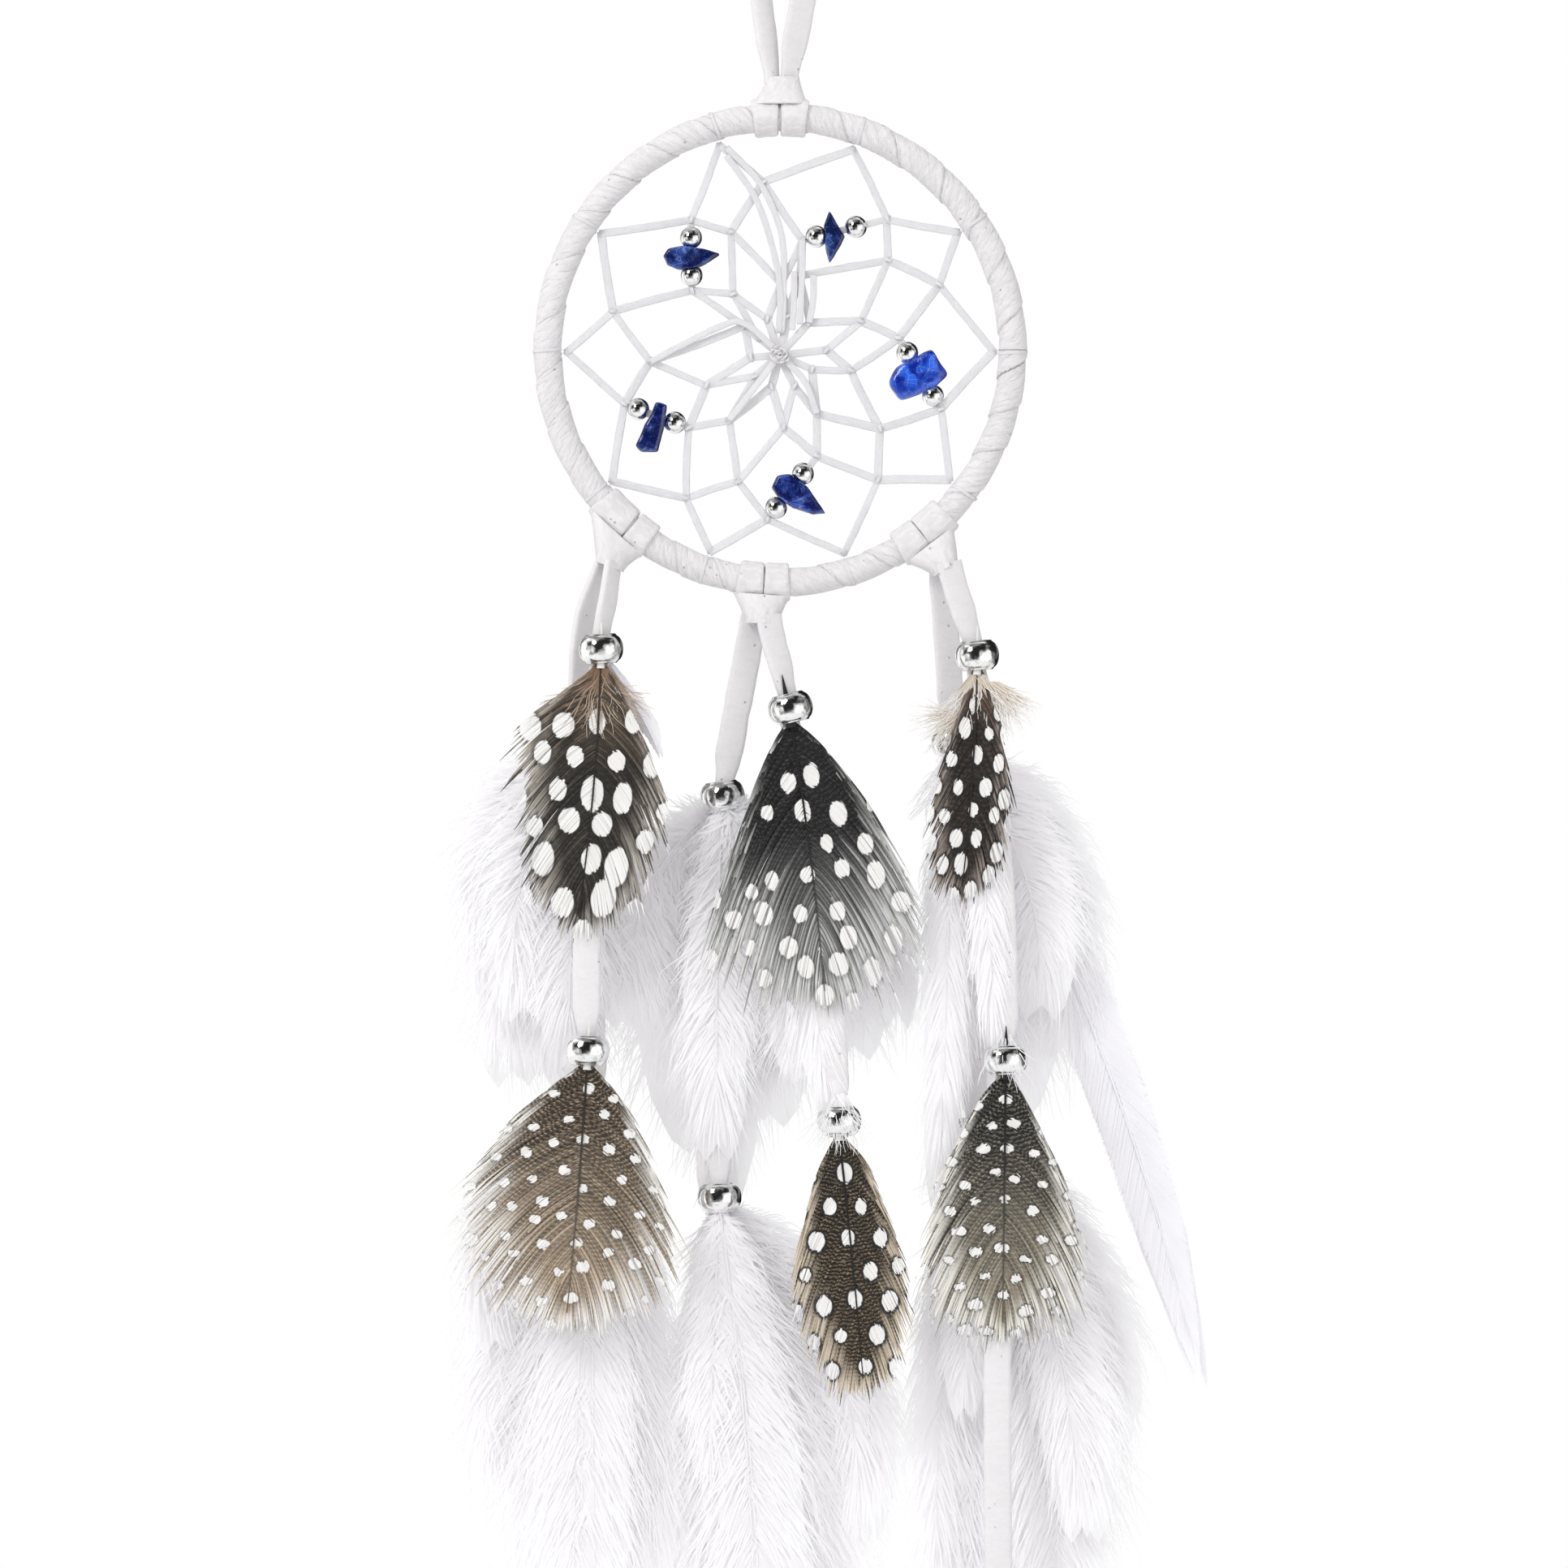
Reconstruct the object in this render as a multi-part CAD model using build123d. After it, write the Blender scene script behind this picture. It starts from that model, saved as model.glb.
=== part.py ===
from build123d import *
import math
import os

# A hanging dream catcher: a lace-wrapped hoop with a knotted web, five stone chips between
# silver balls, and three folded lace ties whose six tails carry beads, spotted feathers in
# front and white plumes behind.
# Millimetres. +Z up, the viewer looks along +Y, +X to the right. The origin is the top of
# the inside of the hanging loop, where a hook or a nail goes.

# ---- Driving dimensions ----
hoop_outer_radius = 45.0
hoop_section_radius = 2.6
ring_wire_radius = 1.6
hoop_centre_z = -115.0

thread_radius = 0.45
hitch_thread_radius = 0.4
web_knot_radius = 0.62
hitch_gap = 0.5
hitch_knot_size = 0.8

lace_width = 5.0
lace_thickness = 1.2
lace_neck_width = 3.2
lace_neck_thickness = 1.0

ball_radius = 2.0
ball_hole_radius = 0.55
chip_half_thickness = 2.0
chip_chamfer = 0.35
chip_hole_radius = 0.8
chip_ball_gap = 0.3

bead_radius = 4.0
bead_half_height = 2.5
bead_hole_radius = 2.2

quill_radius = 0.5
feather_thickness = 0.8
plume_thickness = 5.0

front_row_y = -4.5
rear_row_y = 4.5
lace_offset = 0.4
lace_above_bead = 1.3
quill_offset = 1.4
hinge_gap = 1.0

# ---- Derived dimensions ----
hoop_radius = hoop_outer_radius - hoop_section_radius
hoop_top_z = hoop_centre_z + hoop_radius

parts = {}


# ---- Small helpers ----
def hoop_point(angle, radius):
    """A point in the hoop's plane, at an angle in degrees from +X and a distance from its centre."""
    turn = math.radians(angle)
    return (radius * math.cos(turn), 0.0, hoop_centre_z + radius * math.sin(turn))


def section_plane(angle):
    """The plane across the hoop's tube at an angle, centred on the tube."""
    turn = math.radians(angle)
    tangent = (-math.sin(turn), 0.0, math.cos(turn))
    outward = (math.cos(turn), 0.0, math.sin(turn))
    return Plane(origin=hoop_point(angle, hoop_radius), x_dir=outward, z_dir=tangent)


def facing_plane(y):
    """An upright plane that faces the viewer at depth y: its X is +X and its Y is +Z."""
    return Plane(origin=(0, y, 0), x_dir=(1, 0, 0), z_dir=(0, -1, 0))


def rod(start, end, radius):
    """A round rod from one point to another."""
    start_point = Vector(*start)
    run = Vector(*end) - start_point
    lying = Plane(origin=start_point, z_dir=run)
    return lying * Cylinder(radius, run.length, align=(Align.CENTER, Align.CENTER, Align.MIN))


def plate(face_points, y, thickness):
    """A flat plate with straight edges, facing the viewer, centred at depth y."""
    face = facing_plane(y) * make_face(Polyline(*face_points, close=True))
    return extrude(face, amount=thickness / 2, both=True)


def bend_radii(points):
    """The arc radius for each corner of a route, as large as its two runs allow."""
    radii = []
    for before, corner, after in zip(points, points[1:], points[2:]):
        run_in = Vector(*corner) - Vector(*before)
        run_out = Vector(*after) - Vector(*corner)
        half_turn = math.radians(run_in.get_angle(run_out)) / 2
        shorter = min(run_in.length, run_out.length)
        radii.append(0.45 * shorter / math.tan(half_turn))
    return radii


def lace(name, route, y, across_y, along):
    """A flat lace along a route of (x, z) points at depth y, across_y wide in Y."""
    points = [(x, y, z) for x, z in route]
    if len(points) == 2:
        radii = []
        path = Line(*points)
    else:
        radii = bend_radii(points)
        path = FilletPolyline(*points, radius=radii)
    start = Plane(origin=path @ 0, x_dir=(0, 1, 0), z_dir=path % 0)
    band = sweep(start * Rectangle(across_y, along), path=path)
    expected = across_y * along * path.length
    print(
        f"{name}: length {path.length:.1f} mm, volume {band.volume:.1f} of {expected:.1f} mm3,",
        "radii",
        [round(r, 1) for r in radii],
    )
    return band


# ---- Hoop ----
def make_hoop():
    lying = Plane(origin=(0, 0, hoop_centre_z), x_dir=(1, 0, 0), z_dir=(0, -1, 0))
    parts["hoop_ring"] = lying * Torus(hoop_radius, ring_wire_radius)
    outside = lying * Torus(hoop_radius, hoop_section_radius)
    parts["hoop_wrap"] = outside - lying * Torus(hoop_radius, ring_wire_radius)


# ---- Web: one thread, hitched round the hoop at ten places, then row by row inwards ----
# Each row's knot sits on the thread between two knots of the row outside it.
# Knots are (x, z) from the hoop's centre.
hoop_hitch_angles = [106.5, 70.0, 33.5, -0.5, -37.5, -72.5, -109.0, -142.0, -179.5, 147.0]
web_row_1 = [
    (-3.1, 30.6),
    (19.5, 23.8),
    (29.0, 11.8),
    (29.3, -10.8),
    (17.8, -23.7),
    (-2.4, -30.9),
    (-17.2, -27.1),
    (-28.4, -9.9),
    (-30.5, 7.0),
    (-16.3, 23.7),
]
web_row_2 = [
    (4.0, 20.0),
    (19.7, 16.3),
    (21.6, 2.1),
    (18.2, -14.4),
    (6.7, -19.4),
    (-7.7, -24.0),
    (-16.7, -14.2),
    (-23.7, -2.2),
    (-16.1, 10.8),
    (-9.0, 21.5),
]
web_row_3 = [
    (3.6, 13.5),
    (14.7, 5.2),
    (12.9, -3.8),
    (6.7, -11.7),
    (0.6, -14.2),
    (-9.3, -12.9),
    (-13.5, -6.5),
    (-6.5, 4.3),
    (-8.6, 10.2),
    (0.1, 12.0),
]
web_row_4 = [
    (5.3, 4.9),
    (8.4, 0.0),
    (5.8, -3.6),
    (2.6, -6.6),
    (-1.6, -6.8),
    (-4.6, -4.8),
    (-5.4, -1.4),
    (-4.0, 2.2),
    (-2.4, 5.6),
    (1.4, 6.2),
]
web_centre = (-0.1, -1.0)
web_centre_radius = 1.8


def web_point(place):
    return (place[0], 0.0, hoop_centre_z + place[1])


def make_web():
    hitch_radius = hoop_section_radius + hitch_gap + hitch_thread_radius
    hitch_knot_radius = hoop_radius - hitch_radius
    hitch_gap_angle = math.degrees(0.75 * hitch_knot_size / hitch_radius)
    loop = Rot(0, 0, 180 + hitch_gap_angle) * Torus(
        hitch_radius, hitch_thread_radius, major_angle=360 - 2 * hitch_gap_angle)
    hitches = [section_plane(angle) * loop for angle in hoop_hitch_angles]
    rows = [[hoop_point(angle, hitch_knot_radius) for angle in hoop_hitch_angles]]
    for row in (web_row_1, web_row_2, web_row_3, web_row_4):
        rows.append([web_point(place) for place in row])
    centre = web_point(web_centre)
    threads = [rod(knot, centre, thread_radius) for knot in rows[-1]]
    for row_outside, row_inside in zip(rows, rows[1:]):
        for i, knot in enumerate(row_inside):
            after = row_outside[(i + 1) % len(row_outside)]
            threads.append(rod(row_outside[i], knot, thread_radius))
            threads.append(rod(after, knot, thread_radius))
    inner_side = Pos(-hitch_radius, 0, 0)
    knots = [section_plane(angle) * inner_side * Sphere(hitch_knot_size) for angle in hoop_hitch_angles]
    knots += [Pos(*place) * Sphere(web_knot_radius) for row in rows[1:] for place in row]
    knots.append(Pos(*centre) * Sphere(web_centre_radius))
    web = knots[0].fuse(*knots[1:])
    web = web.fuse(*threads)
    parts["web_thread"] = web.fuse(*hitches)


# ---- Stone chips and silver balls, strung on the web's thread ----
# name: thread from, thread to, distances along it of the two balls, the chip's outline
bead_groups = {
    "top_left": (
        web_row_1[9],
        web_row_2[8],
        (3.2, 10.2),
        [(-21.0, 17.0), (-20.2, 18.4), (-17.2, 19.0), (-14.1, 18.4), (-11.1, 17.5)]
        + [(-14.1, 15.4), (-16.1, 14.2), (-18.5, 14.6), (-20.4, 15.4)],
    ),
    "top_right": (
        web_row_2[0],
        web_row_1[1],
        (2.7, 10.1),
        [(8.9, 25.5), (9.9, 23.8), (12.0, 20.6), (11.1, 18.9), (8.9, 15.6), (7.9, 19.4), (7.7, 22.3)],
    ),
    "right": (
        web_row_2[2],
        web_row_1[3],
        (3.1, 12.2),
        [(27.4, -0.3), (30.2, -4.6), (27.8, -6.8), (22.1, -8.9), (20.0, -6.1), (21.5, -3.3)],
    ),
    "bottom": (
        web_row_2[4],
        web_row_1[5],
        (4.1, 12.0),
        [(-1.3, -25.3), (-0.3, -23.4), (2.1, -23.1), (4.9, -25.2), (8.0, -29.4)]
        + [(5.8, -29.6), (2.4, -28.6), (-0.3, -26.8)],
    ),
    "left": (
        web_row_1[7],
        web_row_2[6],
        (2.7, 9.8),
        [(-22.9, -9.6), (-21.3, -10.2), (-21.6, -13.5), (-22.6, -18.5), (-24.9, -18.5)]
        + [(-25.8, -17.5), (-24.4, -13.6), (-23.4, -11.6)],
    ),
}


def make_bead_group(name, thread_from, thread_to, ball_distances, chip_outline):
    start = Vector(*web_point(thread_from))
    end = Vector(*web_point(thread_to))
    direction = (end - start).normalized()
    balls = []
    chip_points = [(x, hoop_centre_z + z) for x, z in chip_outline]
    chip = plate(chip_points, 0.0, 2 * chip_half_thickness)
    chip = chamfer(chip.faces().filter_by(Axis.Y).edges(), chip_chamfer)
    for distance in ball_distances:
        place = start + direction * distance
        hole = rod(place - direction * 3, place + direction * 3, ball_hole_radius)
        balls.append(Pos(place) * Sphere(ball_radius) - hole)
        chip -= Pos(place) * Sphere(ball_radius + chip_ball_gap)
    chip -= rod(start, end, chip_hole_radius)
    parts[name + "_chip"] = chip
    parts[name + "_balls"] = Compound(children=balls)
    middle = start + direction * (sum(ball_distances) / 2)
    print(name, "chip spins about", tuple(middle), "along", tuple(direction))


# ---- Lace knots on the hoop: two wraps round the tube and a neck that the strands leave ----
wrap_width = 4.2
wrap_thickness = 0.8


def lace_wraps(angles, clearance):
    """Two bands of lace round the hoop's tube."""
    inner = hoop_section_radius + clearance
    wraps = []
    for angle in angles:
        ring = Cylinder(inner + wrap_thickness, wrap_width) - Cylinder(inner, wrap_width)
        wraps.append(section_plane(angle) * ring)
    return wraps


def neck(foot_plane, foot_size, end_plane, end_size):
    """The gathered lace between the wraps and the point where the strands part."""
    foot = foot_plane * Rectangle(*foot_size)
    end = end_plane * Rectangle(*end_size)
    return loft([foot, end])


def make_hanging_knot():
    top_clearance = 0.5
    wraps = lace_wraps((93.4, 86.6), top_clearance)
    foot_z = hoop_top_z + hoop_section_radius + top_clearance + 0.3
    foot = Plane(origin=(0, 0, foot_z), x_dir=(1, 0, 0), z_dir=(0, 0, 1))
    end = Plane(origin=(0.4, 0, -64.6), x_dir=(1, 0, 0), z_dir=(0, 0, 1))
    gathered = neck(foot, (9.2, 4.4), end, (5.6, 5.2))
    parts["hanging_knot"] = wraps[0] + wraps[1] + gathered


# name: angles of the two wraps, where the strands leave (x, z)
ties = {
    "left": ((-136.0, -127.5), (-30.8, -154.6)),
    "centre": ((-97.5, -90.7), (-3.3, -164.8)),
    "right": ((-56.0, -49.0), (30.4, -155.0)),
}
tie_neck_width = 6.4
tie_neck_depth = 4.0


def make_tie(name, wrap_angles, neck_end):
    clearance = 0.15
    wraps = lace_wraps(wrap_angles, clearance)
    middle_angle = sum(wrap_angles) / 2
    turn = math.radians(middle_angle)
    outward = (math.cos(turn), 0.0, math.sin(turn))
    foot_radius = hoop_radius + hoop_section_radius + clearance + 0.35
    foot = Plane(origin=hoop_point(middle_angle, foot_radius), x_dir=(0, 1, 0), z_dir=outward)
    end = Plane(origin=(neck_end[0], 0, neck_end[1]), x_dir=(0, 1, 0), z_dir=(0, 0, -1))
    gathered = neck(foot, (4.4, 9.4), end, (tie_neck_depth, tie_neck_width))
    parts[name + "_tie_knot"] = wraps[0] + wraps[1] + gathered


# ---- Hanging loop ----
def make_hanging_lace():
    top_z = lace_thickness / 2
    route = [
        (-0.9, -64.4),
        (-3.2, -51.0),
        (-6.0, -36.0),
        (-6.9, -21.0),
        (-6.6, -9.5),
        (-5.3, -3.2),
        (-2.2, top_z),
        (2.2, top_z),
        (5.3, -3.2),
        (6.8, -9.5),
        (7.3, -21.0),
        (6.6, -36.0),
        (4.4, -51.0),
        (1.7, -64.4),
    ]
    parts["hanging_lace"] = lace("hanging_lace", route, 0.0, lace_width, lace_thickness)


# ---- Beads, feathers and plumes on the tails ----
def bead(place):
    """A plump ring bead with a wide hole, standing upright at (x, y, z)."""
    rim = (bead_hole_radius, 0.0, bead_half_height)
    foot = (bead_hole_radius, 0.0, -bead_half_height)
    outline = ThreePointArc(rim, (bead_radius, 0.0, 0.0), foot) + Line(foot, rim)
    return Pos(*place) * revolve(make_face(outline), axis=Axis.Z)


def feather(bead_place, side, widest, length, lean):
    """A leaf-shaped vane on a quill that stands in the bead.

    side is -1 in front of the lace and +1 behind it; widest is the vane's width to the left
    and to the right of the shaft; lean is how far its tip stands to the right of its foot.
    """
    x, y, z = bead_place
    vane_y = y + side * quill_offset
    foot_z = z - bead_half_height - 0.6
    left, right = widest
    foot = (x, foot_z)
    tip = (x + lean, foot_z - length)
    left_edge = Spline(foot, (x - left * 0.62 + lean * 0.3, foot_z - length * 0.3),
                       (x - left + lean * 0.65, foot_z - length * 0.65), tip)
    right_edge = Spline(tip, (x + right + lean * 0.65, foot_z - length * 0.65),
                        (x + right * 0.62 + lean * 0.3, foot_z - length * 0.3), foot)
    vane = facing_plane(vane_y) * make_face(left_edge + right_edge)
    vane = extrude(vane, amount=feather_thickness / 2, both=True)
    quill = rod((x, vane_y, z + bead_half_height + 1), (x, vane_y, foot_z - 3), quill_radius)
    return vane + quill


def plume(bead_place, centre, half_size, tilt):
    """A soft white plume as a flat oval pad behind the lace, on a quill in the bead."""
    x, y, z = bead_place
    quill_y = y + quill_offset
    middle_y = quill_y + plume_thickness / 2 - 0.1
    oval = Pos(*centre) * Rot(0, 0, tilt) * Ellipse(*half_size)
    pad = extrude(facing_plane(middle_y) * oval, amount=plume_thickness / 2, both=True)
    foot = (x, quill_y, z + bead_half_height + 1)
    below = (x, quill_y, z - bead_half_height - 1)
    inside = (centre[0], quill_y, centre[1] + half_size[1] * 0.6)
    return pad + rod(foot, below, quill_radius) + Pos(*below) * Sphere(quill_radius) + rod(
        below, inside, quill_radius)


def neck_through(bead_place, lace_y, below):
    """The lace squeezed narrow inside a bead, ending a little below it."""
    x, _, z = bead_place
    top = z + bead_half_height + lace_above_bead + 0.3
    bottom = z - bead_half_height - below
    block = Box(lace_neck_width, lace_neck_thickness, top - bottom)
    return Pos(x, lace_y, (top + bottom) / 2) * block


# Each tail: its top (x, z), the upper lace's bends, the upper bead, the lower lace's bends
# and the lower bead, all (x, z).
tails = {
    "left_front": ((-30.4, -155.5), [(-31.4, -161.5)], (-32.6, -169.6),
                   [(-34.0, -190.0), (-35.3, -215.0)], (-35.1, -242.6)),
    "left_rear": ((-31.4, -155.5), [(-34.6, -162.0), (-36.2, -172.0)], (-36.8, -185.0),
                  [(-36.4, -205.0), (-34.6, -230.0)], (-34.0, -254.0)),
    "centre_front": ((-1.8, -165.7), [(0.2, -172.0)], (1.9, -180.4),
                     [(4.4, -200.0), (8.2, -226.0)], (10.7, -255.5)),
    "centre_rear": ((-4.8, -165.7), [(-7.0, -177.0)], (-10.5, -196.4),
                    [(-11.8, -216.0), (-11.8, -242.0)], (-11.1, -269.8)),
    "right_front": ((31.2, -155.9), [(33.2, -162.0)], (35.8, -170.8),
                    [(38.4, -191.0), (40.6, -218.0)], (41.0, -244.4)),
    "right_rear": ((29.8, -155.9), [(30.4, -163.0), (31.2, -174.0)], (31.7, -186.6),
                   [(32.8, -208.0), (34.8, -233.0)], (35.6, -258.0)),
}

# Spotted feathers: widths left and right of the shaft, length, lean of the tip
spotted_feathers = {
    "left_front": ((12.5, 12.5, 48.5, -3.0), (20.0, 17.0, 50.5, -3.6)),
    "centre_front": ((15.5, 18.5, 51.0, 6.0), (9.8, 9.0, 48.5, 4.0)),
    "right_front": ((6.5, 5.8, 42.0, -3.0), (13.5, 13.5, 51.0, 0.6)),
}

# White plumes: centre (x, z), half width and half length, tilt in degrees
white_plumes = {
    "left_rear": ((-43.5, -216.0, 15.5, 27.0, 4), (-41.0, -313.0, 16.5, 57.0, -3)),
    "centre_rear": ((0.0, -231.0, 20.5, 32.0, 0), (3.0, -323.0, 19.5, 49.0, 0)),
    "right_rear": ((43.5, -221.0, 15.5, 30.0, -6), (47.5, -316.0, 18.5, 55.0, 3)),
}

bare_end_route = [(40.6, -250.0), (39.6, -285.0), (39.7, -318.0), (40.2, -352.0)]


def make_tail(name):
    top, upper_bends, upper_bead, lower_bends, lower_bead = tails[name]
    side = -1 if name.endswith("front") else 1
    row_y = front_row_y if side < 0 else rear_row_y
    lace_y = row_y - side * lace_offset
    upper_place = (upper_bead[0], row_y, upper_bead[1])
    lower_place = (lower_bead[0], row_y, lower_bead[1])
    above_bead = bead_half_height + lace_above_bead

    upper_route = [top] + upper_bends + [(upper_bead[0], upper_bead[1] + above_bead)]
    upper = lace(name + "_upper_lace", upper_route, lace_y, lace_thickness, lace_width)
    parts[name + "_upper_lace"] = upper + neck_through(upper_place, lace_y, 0.3)
    parts[name + "_upper_bead"] = bead(upper_place)

    lower_top = (upper_bead[0], upper_bead[1] - bead_half_height - 0.3 - hinge_gap)
    lower_route = [lower_top] + lower_bends + [(lower_bead[0], lower_bead[1] + above_bead)]
    lower = lace(name + "_lower_lace", lower_route, lace_y, lace_thickness, lace_width)
    lower += neck_through(lower_place, lace_y, 1.2)
    if name == "right_front":
        bare_top = (lower_bead[0], lower_bead[1] - bead_half_height - 0.5)
        lower += lace("right_front_bare_end", [bare_top] + bare_end_route, lace_y,
                      lace_thickness, lace_width)
    parts[name + "_lower_lace"] = lower
    parts[name + "_lower_bead"] = bead(lower_place)
    print(name, "upper hinge", (top[0], lace_y, top[1]), "lower hinge", (lower_top[0], lace_y, lower_top[1]))

    if side < 0:
        for level, place, shape in zip(("upper", "lower"), (upper_place, lower_place),
                                       spotted_feathers[name]):
            left, right, length, lean = shape
            vane = feather(place, side, (left, right), length, lean)
            parts[f"{name}_{level}_spotted_feather"] = vane
    else:
        for level, place, shape in zip(("upper", "lower"), (upper_place, lower_place),
                                       white_plumes[name]):
            x, z, half_width, half_length, tilt = shape
            pad = plume(place, (x, z), (half_width, half_length), tilt)
            parts[f"{name}_{level}_white_plume"] = pad


# ---- Two long narrow white hackles that stand out of the bunches ----
def make_right_hackle():
    """From the right rear upper bead, behind its plume, curving out to the right."""
    x, z = tails["right_rear"][2]
    vane_y = 12.3
    inner_edge = Spline((x + 1.4, z - 4.5), (50.0, -226.0), (64.0, -268.0), (77.2, -303.0))
    outer_edge = Spline((77.2, -303.0), (70.0, -272.0), (58.5, -240.0), (x + 3.0, z - 3.5))
    closing = Line((x + 3.0, z - 3.5), (x + 1.4, z - 4.5))
    vane = facing_plane(vane_y) * make_face(inner_edge + outer_edge + closing)
    vane = extrude(vane, amount=feather_thickness / 2, both=True)
    quill_start = (x + 1.0, rear_row_y + 1.2, z + 0.5)
    quill_bend = (x + 1.0, rear_row_y + 1.2, z - bead_half_height - 0.4)
    quill_end = (x + 2.2, vane_y, z - 4.2)
    quill = rod(quill_start, quill_bend, 0.35)
    quill += Pos(*quill_bend) * Sphere(0.35)
    quill += rod(quill_bend, quill_end, 0.35)
    parts["right_hackle"] = vane + quill


def make_left_hackle():
    """From the left front upper bead, behind its lace, showing at the feather's right edge."""
    x, z = tails["left_front"][2]
    vane_y = front_row_y + 1.6
    points = [(x - 0.8, z - 1), (x + 0.8, z - 1), (x + 1.0, z - 2.6), (x + 2.8, z - 3.2)]
    points += [(x + 5.6, z - 6.5), (x + 11.0, z - 20.0), (x + 5.5, z - 14.0)]
    points += [(x + 3.1, z - 4.4), (x + 1.0, z - 3.5)]
    parts["left_hackle"] = plate(points, vane_y, 0.4)


make_hoop()
make_web()
for group_name, group in bead_groups.items():
    make_bead_group(group_name, *group)
make_hanging_knot()
make_hanging_lace()
for tie_name, tie in ties.items():
    make_tie(tie_name, *tie)
for tail_name in tails:
    make_tail(tail_name)
make_right_hackle()
make_left_hackle()

os.makedirs("parts", exist_ok=True)
for node_name, shape in parts.items():
    export_step(shape, f"parts/{node_name}.step")
print(len(parts), "nodes")
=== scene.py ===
import math
import random

import bpy
import bmesh
import numpy as np
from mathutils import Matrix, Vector, noise


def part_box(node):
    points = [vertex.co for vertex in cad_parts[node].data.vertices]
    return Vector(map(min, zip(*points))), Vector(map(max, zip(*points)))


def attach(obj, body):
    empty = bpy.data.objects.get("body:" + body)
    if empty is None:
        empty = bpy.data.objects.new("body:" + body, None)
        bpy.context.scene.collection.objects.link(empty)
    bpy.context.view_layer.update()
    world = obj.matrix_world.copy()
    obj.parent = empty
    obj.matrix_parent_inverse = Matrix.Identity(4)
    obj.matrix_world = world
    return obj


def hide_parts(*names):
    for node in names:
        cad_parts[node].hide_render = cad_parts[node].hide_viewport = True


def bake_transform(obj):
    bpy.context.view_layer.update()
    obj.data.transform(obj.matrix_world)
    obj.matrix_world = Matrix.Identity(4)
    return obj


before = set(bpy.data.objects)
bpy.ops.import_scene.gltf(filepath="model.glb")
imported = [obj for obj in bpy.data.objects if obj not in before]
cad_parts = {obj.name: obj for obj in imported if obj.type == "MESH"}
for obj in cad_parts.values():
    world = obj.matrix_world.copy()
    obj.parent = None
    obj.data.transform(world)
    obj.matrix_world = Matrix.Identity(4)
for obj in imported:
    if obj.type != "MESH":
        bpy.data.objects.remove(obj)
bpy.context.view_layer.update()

# Lengths are in millimetres, and piece() turns them into metres. Only the stage's are in metres.
MM = 0.001


# ---- Places, read from the CAD model ----

def low_high(node):
    low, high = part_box(node)
    return np.array(low) / MM, np.array(high) / MM


def middle(node):
    low, high = low_high(node)
    return (low + high) / 2


wrap_low, wrap_high = low_high("hoop_wrap")
hoop_centre = (wrap_low + wrap_high) / 2
tube_radius = (wrap_high[1] - wrap_low[1]) / 2
hoop_radius = (wrap_high[0] - wrap_low[0]) / 2 - tube_radius
front_lace_y = middle("left_front_upper_lace")[1]
rear_lace_y = middle("left_rear_upper_lace")[1]


def placed(name, data):
    """A new object in the scene."""
    made = bpy.data.objects.new(name, data)
    bpy.context.scene.collection.objects.link(made)
    return made


def circle(count):
    return np.linspace(0, 2 * np.pi, count, endpoint=False)


# ---- Camera, seen straight from the front ----

view_width = 286.0
camera_distance = 1900.0
camera_height = -194.2
camera_side = 0.7
camera_data = bpy.data.cameras.new("camera")
camera_data.sensor_width = 36.0
camera_data.lens = 36.0 * camera_distance / view_width
camera = placed("camera", camera_data)
camera.location = (camera_side * MM, -camera_distance * MM, camera_height * MM)
camera.rotation_euler = (math.radians(90), 0, 0)
bpy.context.scene.camera = camera
bpy.context.scene.view_settings.view_transform = "Standard"


# ---- Materials ----

class Nodes:
    """The node tree of a material or of the world, emptied and filled again."""

    def __init__(self, owner):
        owner.use_nodes = True
        self.tree = owner.node_tree
        self.tree.nodes.clear()

    def add(self, kind, inputs=(), **settings):
        node = self.tree.nodes.new("ShaderNode" + kind)
        for key, value in settings.items():
            setattr(node, key, value)
        for key, value in dict(inputs).items():
            self.feed(node.inputs[key], value)
        return node

    def feed(self, socket, value):
        if isinstance(value, bpy.types.NodeSocket):
            self.tree.links.new(value, socket)
        elif hasattr(value, "__len__") and len(value) == 3 and socket.type == "RGBA":
            socket.default_value = (*value, 1.0)
        else:
            socket.default_value = value


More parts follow.
